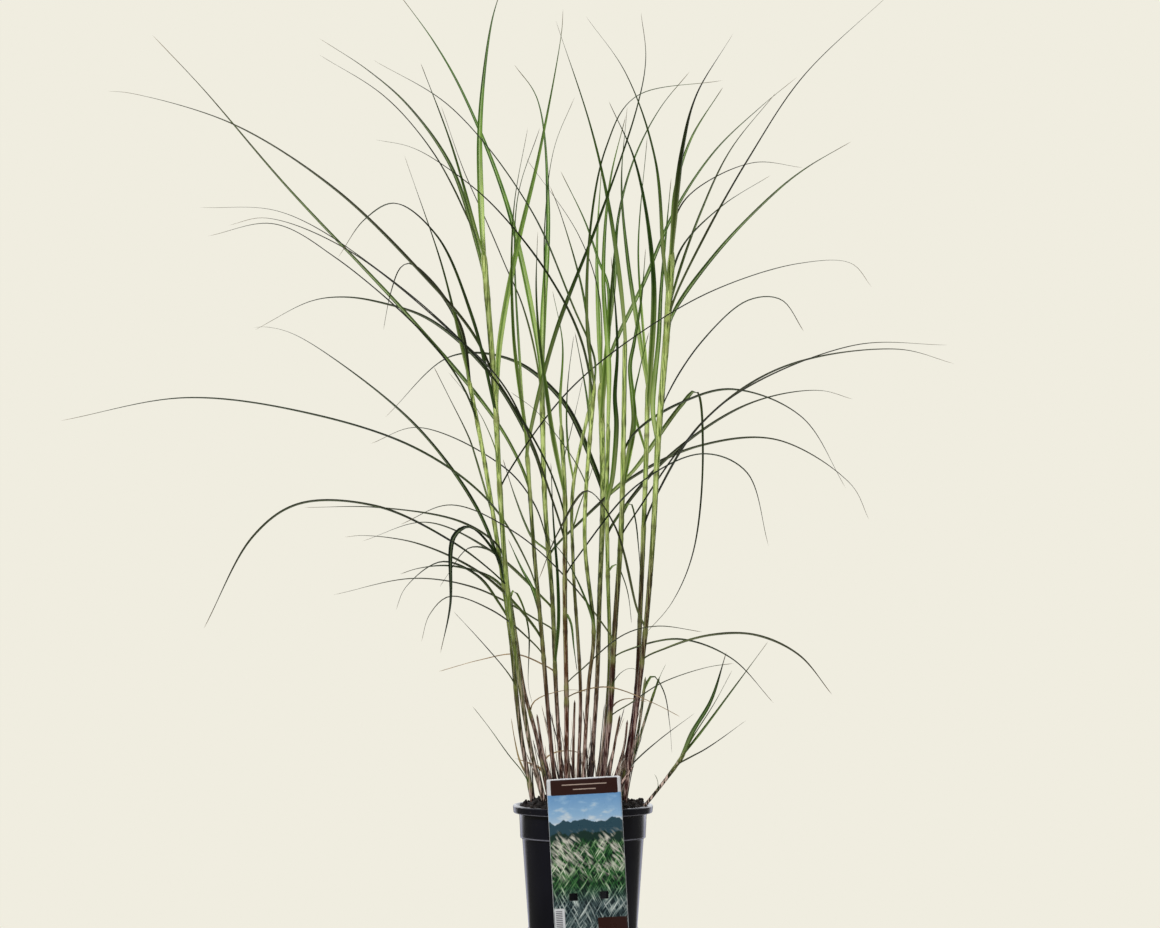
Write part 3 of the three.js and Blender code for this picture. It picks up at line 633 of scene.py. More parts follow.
def addPrintGrain(tree, card, scale, stretch, detail, turn):
    turned = addNode(tree, "ShaderNodeMapping", {"Vector": card, "Rotation": (0, turn, 0)})
    fit = addNode(tree, "ShaderNodeMapping", {"Vector": turned.outputs[0], "Scale": stretch})
    values = {"Vector": fit.outputs[0], "Scale": scale, "Detail": detail}
    return addNode(tree, "ShaderNodeTexNoise", values).outputs["Fac"]


# A soft mask that is 1 below a ridge line
def belowRidge(tree, grain, z, middle, height, soft):
    line = addMath(tree, "MULTIPLY_ADD", grain, height, middle - height / 2)
    return addFade(tree, addMath(tree, "SUBTRACT", line, z), -soft, soft)


# Hills under a pale sky, over a meadow with plumes that turns to dusk further down
def paintPicture(tree, card, z):
    form = labelPrint
    sources = {name: addPrintGrain(tree, card, *grain) for name, grain in form["grains"].items()}
    cells = addNode(tree, "ShaderNodeTexVoronoi", {"Vector": card, "Scale": form["cellScale"]})
    sources["leaves"] = addMath(tree, "MAXIMUM", sources["leftLeaves"], sources["rightLeaves"])
    sources["cells"] = cells.outputs["Distance"]
    sources["height"] = z
    below = {name: belowRidge(tree, sources[name], z, *ridge) for name, ridge in form["ridges"].items()}
    fades = {name: addFade(tree, sources[source], *limits)
             for name, (source, *limits) in form["fades"].items()}
    sky = addRamp(tree, addMath(tree, "ADD", fades["sky"], fades["clouds"]), form["sky"])
    strokes = addMath(tree, "MULTIPLY_ADD", sources["sun"], form["sunShare"], fades["strokes"])
    dots = multiply(tree, *(fades[name] for name in ("dots", "dotPatches", "dotLeaves", "dotTop", "dotFoot")))
    plumes = multiply(tree, *(fades[name] for name in ("feathers", "tufts", "plumeTop", "plumeFoot")))
    picture = addMix(tree, below["farRidge"], sky, form["farHill"])
    picture = addMix(tree, below["nearRidge"], picture, form["nearHill"])
    picture = addMix(tree, below["fieldEdge"], picture, addRamp(tree, strokes, form["meadow"]))
    picture = addMix(tree, dots, picture, form["blossom"])
    picture = addMix(tree, plumes, picture, form["plume"])
    return addMix(tree, fades["dusk"], picture, addRamp(tree, strokes, form["dusk"]))


def makeCardMaterial():
    form = plantLabel
    material, tree, shader = newMaterial("printedLabel")
    x, z = readMarks(tree, ["cardX", "cardZ"])
    card = addNode(tree, "ShaderNodeCombineXYZ", {"X": x, "Z": z}).outputs[0]
    waves = addMath(tree, "SINE", multiply(tree, z, labelPrint["barWave"]))
    inks = dict(labelPrint["inks"], picture=paintPicture(tree, card, z))
    inks["bars"] = addMix(tree, addFade(tree, waves, *labelPrint["barFade"]), inks["blank"], inks["bar"])
    colour = form["border"]
    for *box, corner, ink in labelPrint["boxes"]:
        colour = addMix(tree, boxMask(tree, x, z, box, corner), colour, inks[ink])
    setInputs(tree, shader, {
        "Base Color": colour,
        "Roughness": addFade(tree, addGrain(tree, *form["cardGloss"]), *form["cardRoughness"]),
        "Normal": addBump(tree, addGrain(tree, *form["cardCockle"]), *form["cardBump"]),
    })
    return material


def makeBackMaterial():
    form = plantLabel
    material, tree, shader = newMaterial("labelBack")
    fibres = addGrain(tree, *form["backFibres"])
    setInputs(tree, shader, {
        "Base Color": addMix(tree, fibres, form["back"], form["border"]),
        "Roughness": addFade(tree, fibres, *form["backRoughness"]),
        "Normal": addBump(tree, fibres, *form["backBump"]),
    })
    return material


# The flat card in its own millimetres: x across, z down from its top edge, and its slots cut out
def addCard(bm):
    form = plantLabel
    grid = bmesh.ops.create_grid(bm, x_segments=form["columns"], y_segments=form["rows"], size=1)["verts"]
    for vert in grid:
        vert.co = (vert.co.x * form["width"] / 2, 0, (vert.co.y - 1) * form["height"] / 2)
    corners = [vert for vert in grid if len(vert.link_edges) == 2]
    bmesh.ops.bevel(bm, geom=corners, affect="VERTICES", offset=form["corner"],
                    segments=form["cornerSegments"], profile=0.5, material=-1)
    wide, tall = form["slotSize"]
    for x, z in form["slots"]:
        sides = [((x - wide / 2, 0, z), (1, 0, 0)), ((x + wide / 2, 0, z), (1, 0, 0)),
                 ((x, 0, z - tall / 2), (0, 0, 1)), ((x, 0, z + tall / 2), (0, 0, 1))]
        for place, facing in sides:
            whole = bm.verts[:] + bm.edges[:] + bm.faces[:]
            bmesh.ops.bisect_plane(bm, geom=whole, plane_co=place, plane_no=facing)
        inside = [face for face in bm.faces if abs(face.calc_center_median().x - x) < wide / 2
                  and abs(face.calc_center_median().z - z) < tall / 2]
        bmesh.ops.delete(bm, geom=inside, context="FACES")
    for vert in bm.verts:
        side, drop = vert.co.x / (form["width"] / 2), vert.co.z / form["height"]
        vert[bm.verts.layers.float["cardX"]] = vert.co.x
        vert[bm.verts.layers.float["cardZ"]] = vert.co.z
        vert.co.y = form["front"] - form["curl"] * side**2 * -drop - form["swing"] * drop**2


# The tongue: up behind the card, over its fold, and down inside the rim
def addTongue(bm):
    form = labelTongue
    root = plantLabel["front"] + plantLabel["thickness"] + form["gap"]
    axis = root + form["radius"]
    path = [(root, form["root"])]
    for turn in np.linspace(0, math.pi, form["bends"] + 1):
        path.append((axis - form["radius"] * math.cos(turn), form["fold"] + form["radius"] * math.sin(turn)))
    for share in np.linspace(0, 1, form["steps"] + 1)[1:]:
        drop = (form["foot"] - form["fold"]) * share
        path.append((axis + form["radius"] + form["lean"] * share, form["fold"] + drop))
    last = len(path) - 1
    grid = bmesh.ops.create_grid(bm, x_segments=form["columns"], y_segments=last, size=1)["verts"]
    for vert in grid:
        vert.co = (vert.co.x * form["width"] / 2, *path[round((vert.co.y + 1) / 2 * last)])


def addLabel():
    back = makeBackMaterial()
    place = Matrix.Translation(Vector((plantLabel["shift"], 0, plantLabel["top"])) * mm)
    place = place @ Matrix.Rotation(-plantLabel["tilt"], 4, "Y") @ Matrix.Scale(mm, 4)
    shapes = [("plantLabel", addCard, makeCardMaterial()), ("labelTongue", addTongue, back)]
    for name, addShape, front in shapes:
        bm = newMarked(["cardX", "cardZ"])
        addShape(bm)
        bmesh.ops.transform(bm, matrix=place, verts=bm.verts)
        piece = finishPiece(bm, name, front, ["label"], isClosed=False)
        piece.data.materials.append(back)
        wall = piece.modifiers.new("cardThickness", "SOLIDIFY")
        wall.thickness = plantLabel["thickness"] * mm
        wall.offset = -1
        wall.material_offset = 1
        wall.material_offset_rim = 1


addLabel()
print("label ready")


# Leafy stems: routes in millimetres as seen from the front, so a point that lies further back is
# moved out along the line of sight. A blade: the height where it leaves the culm, its width, how
# far behind that its tip was drawn, and its points from there to the tip. Dry blades are listed by
# their heights.

leafyStems = [
    {"colour": "olive", "depth": 5, "girth": [5.4, 5.0], "dry": [204],
     "culm": [[-62, 184], [-76, 265], [-89, 389], [-108, 520], [-121, 600], [-140, 698]],
     "blades": [
        [198, 3, -40, [-73, 214], [-90, 235], [-113, 267], [-134, 294]],
        [204, 2.6, 50, [-77, 229], [-83, 255], [-87, 280]],
        [318, 4, -50, [-90, 333], [-120, 369], [-157, 409]],
        [398, 5, 60, [-103, 420], [-128, 452], [-172, 469], [-215, 438], [-227, 410]],
        [440, 8, -80, [-103, 472], [-137, 511], [-156, 500], [-161, 415], [-173, 358]],
        [455, 6, 190, [-128, 532], [-200, 631], [-300, 714], [-355, 747], [-385, 754], [-400, 753]],
        [518, 3, 60, [-121, 564], [-131, 598], [-138, 619], [-163, 670], [-181, 706]],
        [640, 7, -200, [-145, 680], [-188, 740], [-300, 838], [-375, 879], [-455, 864]],
        [686, 7, 90, [-150, 755], [-185, 810], [-211, 831], [-221, 826], [-233, 795], [-242, 750]],
        [690, 5, -220, [-147, 727], [-171, 827], [-217, 963]],
     ]},
    {"colour": "olive", "depth": -25, "girth": [5.4, 7.5],
     "culm": [[-50, 190], [-62, 236], [-76, 317], [-92, 440], [-101, 560], [-107, 674], [-121, 850]],
     "blades": [
        [438, 7, -180, [-99, 447], [-155, 491], [-250, 536], [-345, 539], [-400, 500], [-460, 388]],
        [470, 5, 90, [-105, 490], [-150, 518], [-250, 535], [-338, 535]],
        [555, 6, -220, [-80, 594], [-16, 678], [68, 746], [160, 799], [262, 831], [325, 831],
         [350, 802]],
        [562, 3, -60, [-105, 600], [-111, 619], [-124, 647], [-141, 672], [-163, 699]],
        [645, 7, 300, [-101, 734], [-80, 850], [-55, 955], [-26, 1110], [-24, 1140]],
        [640, 9, -180, [-110, 665], [-135, 765], [-178, 865], [-228, 904], [-265, 884], [-297, 838]],
        [690, 7, 250, [-133, 744], [-190, 812], [-300, 920], [-425, 1000], [-547, 1037], [-577, 1040]],
        [800, 6, 220, [-128, 850], [-160, 948], [-212, 1022], [-262, 1066], [-320, 1104]],
        [835, 5, -190, [-130, 870], [-160, 975], [-197, 1074]],
        [840, 6, -100, [-135, 875], [-180, 963], [-240, 1033], [-320, 1084]],
        [846, 8, 210, [-123, 880], [-125, 1000], [-111, 1122], [-97, 1170]],
     ]},
    {"colour": "tan", "depth": 30, "girth": [4.8, 4.0], "dry": [212, 222, 283],
     "culm": [[-44, 195], [-56, 256], [-71, 312], [-83, 390], [-95, 465]],
     "blades": [
        [212, 5, 30, [-53, 219], [-63, 224], [-82, 231]],
        [222, 3, 45, [-40, 235], [-17, 240], [3, 234], [15, 223]],
        [283, 2.6, 20, [-61, 297], [-51, 305], [-29, 312], [-12, 314], [9, 311]],
        [425, 5, 90, [-110, 449], [-160, 464], [-200, 461], [-222, 454]],
        [424, 4, 60, [-84, 434], [-75, 420], [-66, 385], [-66, 318], [-61, 296]],
        [455, 5, 50, [-108, 480], [-138, 486], [-165, 452], [-174, 438]],
     ]},
    {"colour": "tan", "depth": -5, "girth": [5.2, 4.6],
     "culm": [[-34, 200], [-40, 261], [-50, 380], [-60, 491], [-68, 607]],
     "blades": [
        [355, 5, -60, [-65, 375], [-110, 410], [-162, 427], [-186, 405], [-196, 372]],
        [372, 7, 70, [-65, 397], [-120, 452], [-200, 491], [-265, 501], [-290, 499]],
        [405, 5, 40, [-62, 438], [-74, 460], [-91, 497]],
        [428, 7, -160, [-65, 462], [-115, 543], [-200, 605], [-320, 646], [-480, 668], [-634, 640]],
        [555, 6, 240, [-80, 595], [-113, 650], [-210, 765], [-360, 925], [-460, 1042], [-522, 1108]],
        [590, 5, -260, [-69, 624], [-84, 745], [-84, 895], [-67, 996]],
        [598, 8, -330, [-62, 632], [-32, 748], [19, 882], [66, 1022], [76, 1080], [70, 1136]],
        [602, 3.5, 200, [-76, 700], [-80, 905], [-52, 996]],
     ]},
    {"colour": "tan", "depth": 45, "girth": [5.0, 6.6], "dry": [334],
     "culm": [[-26, 205], [-33, 321], [-37, 423], [-46, 539], [-50, 694]],
     "blades": [
        [334, 3, 60, [-50, 345], [-82, 357], [-125, 350], [-175, 336]],
        [345, 5, -50, [-30, 395], [-31, 452], [-36, 520], [-39, 590]],
        [385, 5, -60, [-55, 398], [-130, 437], [-205, 449], [-303, 429]],
        [410, 5, 180, [-52, 428], [-110, 481], [-190, 517], [-268, 494]],
        [475, 6, 230, [0, 520], [60, 571], [140, 609], [235, 617], [325, 563], [347, 520]],
        [480, 3, 120, [-60, 496], [-69, 513], [-83, 550], [-97, 594]],
        [488, 5, -70, [-59, 539], [-96, 584], [-200, 632], [-258, 612]],
        [560, 7, 240, [-60, 605], [-113, 697], [-185, 762], [-244, 783], [-290, 790],
         [-330, 785], [-398, 750]],
        [640, 3.5, -80, [-46, 780], [-46, 880], [-35, 970], [-10, 1033]],
        [655, 6, -160, [-57, 716], [-74, 782], [-93, 826], [-117, 882], [-145, 945], [-172, 1022]],
        [686, 7, 290, [-57, 745], [-91, 899], [-143, 1032], [-179, 1097], [-229, 1166]],
        [690, 8, 310, [-48, 760], [-42, 900], [-55, 1030], [-83, 1072]],
     ]},
    {"colour": "rust", "depth": -35, "girth": [5.6, 5.2], "dry": [303],
     "culm": [[-20, 205], [-20, 304], [-22, 423], [-22, 549], [-27, 640]],
     "blades": [
        [303, 3, -50, [-3, 312], [31, 317], [85, 298], [118, 281]],
        [320, 4, -70, [0, 340], [50, 381], [90, 391], [145, 384]],
        [408, 3, -30, [-15, 396], [-11, 365], [-7, 335]],
        [450, 6, -100, [0, 484], [67, 563], [145, 600], [198, 578], [225, 488]],
        [490, 8, -200, [-36, 540], [-93, 678], [-157, 745], [-290, 850], [-385, 886], [-430, 877]],
        [520, 6, -290, [-45, 590], [-125, 712], [-240, 817], [-365, 893], [-465, 899]],
        [545, 9, 60, [-30, 583], [-38, 625], [-45, 675], [-54, 745], [-57, 800], [-55, 870]],
        [628, 4, -70, [-28, 664], [-25, 734], [-37, 798]],
     ]},
    {"colour": "tan", "depth": 20, "girth": [4.2, 4.0],
     "culm": [[-6, 205], [-3, 312], [-12, 470], [-12, 559], [10, 665]],
     "blades": [
        [565, 3, 90, [-17, 597], [-20, 640], [-18, 690], [-11, 744]],
        [650, 4, 90, [8, 730], [0, 795], [-26, 888], [-40, 925]],
     ]},
    {"colour": "tan", "depth": -50, "girth": [4.6, 4.8],
     "culm": [[0, 205], [7, 321], [13, 382], [2, 500], [14, 690]],
     "blades": [
        [388, 7, -60, [7, 412], [-22, 475], [-48, 505]],
        [620, 3, 40, [6, 658], [-1, 702], [-10, 748]],
        [660, 6, -290, [-2, 735], [-40, 813], [-110, 902], [-168, 949], [-209, 972], [-252, 981]],
        [680, 8, -110, [14, 714], [-12, 779], [-65, 899], [-160, 1020], [-255, 1078]],
        [684, 6, -240, [6, 744], [9, 870], [28, 971], [62, 1032], [170, 1053]],
     ]},
    {"colour": "tan", "depth": 55, "girth": [5.2, 8.0],
     "culm": [[9, 205], [17, 321], [20, 423], [24, 540], [22, 690]],
     "blades": [
        [505, 8, 190, [28, 535], [10, 592], [-25, 664], [-85, 713], [-160, 718], [-240, 644]],
        [640, 8, -120, [31, 740], [38, 840], [46, 905]],
        [670, 5, 130, [31, 755], [30, 806], [20, 832], [3, 881], [-27, 943]],
        [680, 6, 240, [36, 726], [74, 807], [112, 895], [160, 967], [215, 1020], [260, 1057]],
        [684, 3.5, -60, [20, 790], [-5, 865], [-70, 960]],
        [686, 6, 290, [19, 750], [17, 850], [23, 950]],
        [676, 5, 90, [38, 800], [43, 885], [62, 957], [93, 1018], [130, 1064]],
     ]},
    {"colour": "plum", "depth": -15, "girth": [6.6, 5.4], "dry": [284],
     "culm": [[24, 205], [33, 287], [38, 380], [46, 501], [49, 614], [51, 744]],
     "blades": [
        [280, 3, -50, [60, 299], [95, 322], [150, 341], [183, 346]],
        [284, 2.6, 40, [37, 295], [48, 302], [62, 303], [78, 299]],
        [318, 2.6, -30, [44, 333], [56, 340], [70, 337]],
        [352, 5, -150, [60, 364], [118, 375], [180, 352], [231, 298]],
        [372, 6, -160, [30, 385], [-18, 447], [-80, 503], [-160, 538], [-222, 514]],
        [498, 7, -190, [70, 537], [123, 613], [185, 672], [330, 732], [442, 732]],
        [522, 4, 30, [57, 541], [63, 522], [67, 490], [69, 465], [70, 438]],
        [556, 7, 60, [56, 600], [62, 640], [60, 670], [57, 707], [62, 735], [71, 790], [76, 850]],
        [600, 6, 100, [66, 628], [120, 662], [182, 678], [265, 645], [319, 558]],
        [735, 7, -300, [46, 794], [30, 905], [8, 1000], [-33, 1125]],
     ]},
    {"colour": "olive", "depth": 25, "girth": [4.6, 5.2],
     "culm": [[21, 205], [32, 340], [30, 462], [29, 553], [31, 640]],
     "blades": [
        [455, 3, 40, [40, 466], [49, 449], [55, 428], [59, 394]],
        [500, 6, 190, [45, 527], [105, 597], [200, 660], [285, 677], [328, 666]],
        [545, 6, 60, [62, 580], [118, 657], [137, 676], [145, 605], [134, 483], [108, 420], [74, 380]],
        [538, 7, -90, [36, 570], [41, 634], [39, 670], [42, 722], [40, 770], [34, 840]],
        [630, 7, 260, [32, 700], [25, 820], [33, 930], [52, 1010]],
     ]},
    {"colour": "plum", "depth": 10, "girth": [5.8, 5.8],
     "culm": [[48, 200], [64, 304], [70, 423], [76, 578], [79, 690]],
     "blades": [
        [212, 4.5, -30, [62, 226], [92, 253], [136, 286]],
        [510, 8, -90, [90, 551], [145, 638], [240, 704], [380, 727], [451, 709]],
        [600, 3.5, -40, [67, 634], [62, 664], [69, 703], [80, 748]],
        [655, 8, -250, [81, 700], [85, 815], [64, 951], [31, 1028]],
        [680, 6, 220, [71, 728], [54, 840], [47, 930], [54, 1022]],
        [684, 3.5, 60, [72, 760], [67, 850], [78, 985]],
     ]},
    {"colour": "plum", "depth": -25, "girth": [5.6, 9.0],
     "culm": [[53, 200], [66, 300], [76, 389], [85, 501], [91, 614], [102, 754], [108, 849]],
     "blades": [
        [350, 6, -100, [100, 364], [155, 380], [210, 380], [262, 356], [302, 308]],
        [385, 6, -120, [65, 412], [38, 513], [5, 555], [-30, 505], [-54, 447]],
        [610, 7, 60, [85, 655], [92, 738], [95, 800], [101, 870], [107, 935]],
        [640, 5, -60, [98, 662], [140, 731], [200, 786], [240, 787], [268, 748]],
        [725, 6, 210, [107, 764], [160, 841], [231, 915], [270, 946], [326, 979]],
        [740, 7, -210, [108, 779], [150, 868], [200, 957], [267, 1058], [372, 1158]],
        [765, 4, 90, [113, 808], [143, 893], [178, 967], [234, 1038]],
        [780, 6, -270, [97, 840], [87, 957], [52, 1061], [3, 1131]],
        [800, 3.5, 70, [120, 850], [168, 900], [228, 938]],
        [840, 9, -290, [111, 880], [121, 970], [138, 1036], [182, 1110]],
        [843, 5, -90, [110, 880], [130, 915], [205, 953], [267, 947]],
        [845, 5, 190, [112, 920], [131, 982], [170, 1045]],
     ]},
    {"colour": "green", "depth": 45, "girth": [3.8, 3.0],
     "culm": [[48, 205], [61, 239], [68, 270], [76, 330]],
     "blades": [
        [312, 4, 30, [85, 331], [98, 312], [105, 275], [108, 236]],
     ]},
    {"colour": "green", "depth": -8, "girth": [3.6, 2.6],
     "culm": [[60, 228], [80, 292], [93, 330]],
     "blades": [
        [312, 3, -20, [94, 332], [101, 346]],
     ]},
    {"colour": "green", "depth": -15, "girth": [4.2, 3.6],
     "culm": [[72, 170], [90, 192], [115, 225], [125, 240]],
     "blades": [
        [222, 5, -40, [130, 232], [150, 243], [198, 277]],
        [232, 7, 40, [133, 262], [155, 300], [174, 360]],
        [234, 3, -70, [133, 256], [160, 299], [181, 338]],
        [236, 4, 80, [146, 266], [180, 312], [225, 373]],
     ]},
]

stemForm = {
    "eyeDistance": 5200,
    "eyeHeight": 587.7,
    "fanStart": 200,  # the stems fan out in depth above this height
    "fanRate": 0.0025,
    "rootSink": 13,
    "arch": 1.6,
    "footHeight": 145,
    "footRings": 12,
    "sides": 12,
    "ringStep": 4.5,
    "samples": 60,  # of a curve between two points
    "culmSteps": 200,
    "mouth": 0.34,  # how far a leaf sheath stands out at its mouth
    "mouthLength": 34,
    "collarWidth": 5,
    "joint": 0.30,
    "jointWidth": 3.2,
    "firstJoint": (195, 240),
    "jointGaps": (58, 96),
    "jointFree": 40,  # below the top
    "topShare": 0.03,  # the share of a culm over which its top closes
    "topEnd": 1.002,
    # how narrowly the painted shade hugs each culm's left and right sides
    "sideShadePower": 3,
    "wisps": {  # fine leaves that the solids lack
        6: [[585, 2.4, -14, [-22, 600], [-16, 622], [-6, 665], [0, 692]]],
        7: [[505, 2.4, 20, [-10, 516], [-5, 534], [3, 556], [14, 590]]],
        8: [[560, 2.8, -70, [-6, 584], [-30, 620], [-58, 653], [-88, 675]]],
        16: [[192, 2.2, -6, [91, 200], [89, 208], [86, 212]]],
    },
}

bladeForm = {
    "marks": ["along", "across", "upper", "tint", "dry", "pale"],
    "ringStep": 7,
    "fewestRings": 10,
    "roll": 0.3,
    "twist": 0.55,
    "ripple": (0.07, 23, 9),
    "foldAtRoot": 0.62,
    "foldAtTip": 0.24,
    "foldPower": 1.35,
    "foldMiddle": 0.35,
    "thickness": 0.32,
    "keel": 0.5,
    "thinBelow": 1.2,  # blades with a smaller half width get thinner
    "fullShare": 0.25,
    "rootWidth": 3,
    "rootPart": 0.7,
    "taper": 1.35,
    # across a blade, from its right edge over the upper face and back on the lower one
    "columns": np.array([1, 0.5, 0, -0.5, -1, -0.5, 0, 0.5]),
    "upper": np.array([0.5, 1, 1, 1, 0.5, 0, 0, 0]),
    "least": 1.0,  # the width close to the tip
    "point": 0.035,  # the share of a blade over which that runs out
    "shadeByLean": (1.0, -0.72, 0.15, 1.1),  # painted shade by lean: upright, change as a blade leans, least and most
    "tintDraw": (-0.38, 0.22),
    # how pale an upright blade is above its root, less as it leans: partly its paler base, partly painted
    # highlight
    "pale": (1.15, -1.3, 0, 1),
    "paleFrom": 430,  # the height above which upright blades are pale above their roots
    "lowPale": 0.3,
    "paleReach": 0.42,
    "dryDraw": (0.75, 1),
    "freshDraw": (0, 0.08),
    "waveDraw": (0, 6),
    "leastRise": 60,
    "crease": 82,
}

bladeFinish = {
    "gloss": 0.12,
    "mottle": (60, (1, 1, 0.3), 3),
    "mottleShare": 0.7,
    "tipShade": -0.62,  # how much darker a blade gets towards its tip
    # greens for the painted shade, from dark on leaning, arching blades to light on upright ones
    "dark": (0.0130, 0.0225, 0.0085),
    "middle": (0.058, 0.138, 0.016),
    "light": (0.28, 0.47, 0.072),
    # the pale colour: partly the blades' paler bases, partly painted highlight
    "pale": (0.86, 0.98, 0.40),
    "paleShare": 0.85,
    # painted shade on the lower face of each blade
    "under": (0.034, 0.058, 0.022),
    "underShadeFade": (0.5, 0.2, 0, 0.35),
    "rib": (0.46, 0.58, 0.28),
    "ribFade": (0.26, 0.10),
    "ribRunOut": (0.95, 0.5, 0, 0.7),
    "ribTint": (0.0, 0.7, 0.15, 1),
    # the colour that multiplies in the painted shade of the fold and of the margins
    "groove": (0.36, 0.50, 0.22),
    # painted shade of the fold: one broad dark band across each blade, placed by its tint, which also drives
    # a shallow bump
    "foldShade": 3.6,
    "foldShadeShift": 40.0,
    "foldShadeFade": (-0.2, 0.8),
    # painted shade along the blade's margins
    "edgeFade": (0.70, 1.0, 0, 0.5),
    "tip": (0.16, 0.12, 0.07),
    "tipFray": 0.08,
    "tipFade": (0.95, 1.03),
    "straw": [(0.3, (0.22, 0.135, 0.065)), (0.7, (0.46, 0.32, 0.17))],
    "roughness": (0.3, 0.7, 0.48, 0.62),
    "bump": (0.35, 0.05),
}

culmFinish = {
    "gloss": 0.12,
    "reach": (0.17, 0.72),  # the heights of the first and last colour
    "places": (0.0, 0.20, 0.55, 0.74),
    "unevenness": 0.10,
    "streaks": (560, (1, 1, 0.03), 3, 0.6),
    "lightFade": (0.50, 0.57),
    "darkFade": (0.49, 0.43),
    # the pale streaks: partly the culm's own striping, partly painted highlight
    "streak": (0.84, 0.63, 0.54),
    "freshStreak": (0.84, 0.95, 0.40),
    # the dark colour of the streaks, also used for the painted shade on the culm's sides
    "groove": (0.022, 0.0075, 0.0065),
    "freshGroove": (0.036, 0.082, 0.010),
    "dryFade": (0.33, 0.20, 0.30, 0.95),  # how strong the streaks are, by height
    "freshFade": (0.42, 0.56, 0.30, 0.78),
    "freshReach": (0.30, 0.40),
    "sideShade": 0.62,  # how strongly the culm's left and right sides, as seen from the front, are darkened: painted shade
    "ring": (0.05, 0.03, 0.022),
    "ringShare": 0.55,
    "collar": (0.30, 0.34, 0.10),
    "collarShare": 0.6,
    "roughness": (0.3, 0.7, 0.3, 0.5),
    "bump": (0.4, 0.15),
    "colours": {
        "olive": [(0.130, 0.066, 0.044), (0.075, 0.072, 0.022), (0.200, 0.280, 0.052), (0.60, 0.76, 0.20)],
        "tan": [(0.26, 0.130, 0.094), (0.130, 0.068, 0.036), (0.088, 0.100, 0.026), (0.60, 0.76, 0.20)],
        "rust": [(0.13, 0.060, 0.044), (0.175, 0.062, 0.030), (0.13, 0.056, 0.028), (0.32, 0.43, 0.10)],
        "plum": [(0.140, 0.046, 0.040), (0.075, 0.0160, 0.0165), (0.075, 0.034, 0.022), (0.54, 0.70, 0.18)],
        "green": [(0.045, 0.052, 0.022), (0.070, 0.125, 0.030), (0.10, 0.19, 0.04), (0.14, 0.25, 0.05)],
    },
}


# Even steps along a smooth curve through the points of a route
def pointsAlong(knots, steps):
    knots = np.array(knots, float)
    padded = [2 * knots[0] - knots[1], *knots, 2 * knots[-1] - knots[-2]]
    share = np.linspace(0, 1, stemForm["samples"], endpoint=False)[:, None]
    dense = []
    for before, start, end, after in zip(padded, padded[1:], padded[2:], padded[3:]):
        gaps = [math.sqrt(np.linalg.norm(b - a)) for a, b in ((before, start), (start, end), (end, after))]
        leave = (start - before) / gaps[0] - (end - before) / (gaps[0] + gaps[1]) + (end - start) / gaps[1]
        arrive = (end - start) / gaps[1] - (after - start) / (gaps[1] + gaps[2]) + (after - end) / gaps[2]
        dense.append((2 * share**3 - 3 * share**2 + 1) * start
                     + (share**3 - 2 * share**2 + share) * leave * gaps[1]
                     + (3 * share**2 - 2 * share**3) * end + (share**3 - share**2) * arrive * gaps[1])
    dense = np.vstack([*dense, knots[-1:]])
    run = np.concatenate([[0], np.cumsum(np.linalg.norm(np.diff(dense, axis=0), axis=1))])
    even = np.linspace(0, run[-1], steps + 1)
    return np.column_stack([np.interp(even, run, dense[:, axis]) for axis in (0, 1)])


def lengthOf(knots):
    return float(np.linalg.norm(np.diff(np.array(knots, float), axis=0), axis=1).sum())


def setBack(points, depth):
    scale = 1 + depth / stemForm["eyeDistance"]
    height = stemForm["eyeHeight"] + (points[:, 1] - stemForm["eyeHeight"]) * scale
    return np.column_stack([points[:, 0] * scale, np.broadcast_to(depth, scale.shape), height])


def culmDepth(stem, height):
    return stem["depth"] * (1 + stemForm["fanRate"] * np.maximum(0, height - stemForm["fanStart"]))


def culmLine(stem, steps):
    front = pointsAlong(stem["culm"], steps)
    return setBack(front, culmDepth(stem, front[:, 1]))


def culmAt(stem, height):
    points = pointsAlong(stem["culm"], stemForm["culmSteps"])
    above = np.nonzero(points[:, 1] >= height)[0]
    return [points[above[0] if len(above) else -1, 0], height]


# The reach that the blade's solid has, from the corner of the solid that lies at the blade's tip
def solidReach(corners, stem, blade):
    height, _, _, *path = blade
    scale = 1 + corners[:, 1] / stemForm["eyeDistance"]
    across = corners[:, 0] / scale - path[-1][0]
    up = stemForm["eyeHeight"] + (corners[:, 2] - stemForm["eyeHeight"]) / scale - path[-1][1]
    nearest = np.argmin(np.hypot(across, up))
    return corners[nearest, 1] - culmDepth(stem, height - stemForm["rootSink"] / 2)


def bladeLine(stem, blade, reach):
    height, _, _, *path = blade
    knots = [culmAt(stem, height - stemForm["rootSink"]), culmAt(stem, height), *path]
    steps = max(bladeForm["fewestRings"], round((lengthOf(knots) + abs(reach) / 2) / bladeForm["ringStep"]))
    share = np.linspace(0, 1, steps + 1)
    depth = culmDepth(stem, height - stemForm["rootSink"] / 2) + reach * share ** stemForm["arch"]
    return setBack(pointsAlong(knots, steps), depth), share


def bladeWidth(width, share):
    widest = bladeForm["fullShare"]
    root = max(min(width, bladeForm["rootWidth"]), width * bladeForm["rootPart"])
    swell = smoothStep(share, 0, widest)
    taper = 1 - np.clip((share - widest) / (1 - widest), 0, 1) ** bladeForm["taper"]
    full = root * (1 - swell) + width * swell * taper
    point = np.sqrt(np.clip((1 - share) / bladeForm["point"], 0, 1))
    return np.maximum(full, bladeForm["least"] * point)


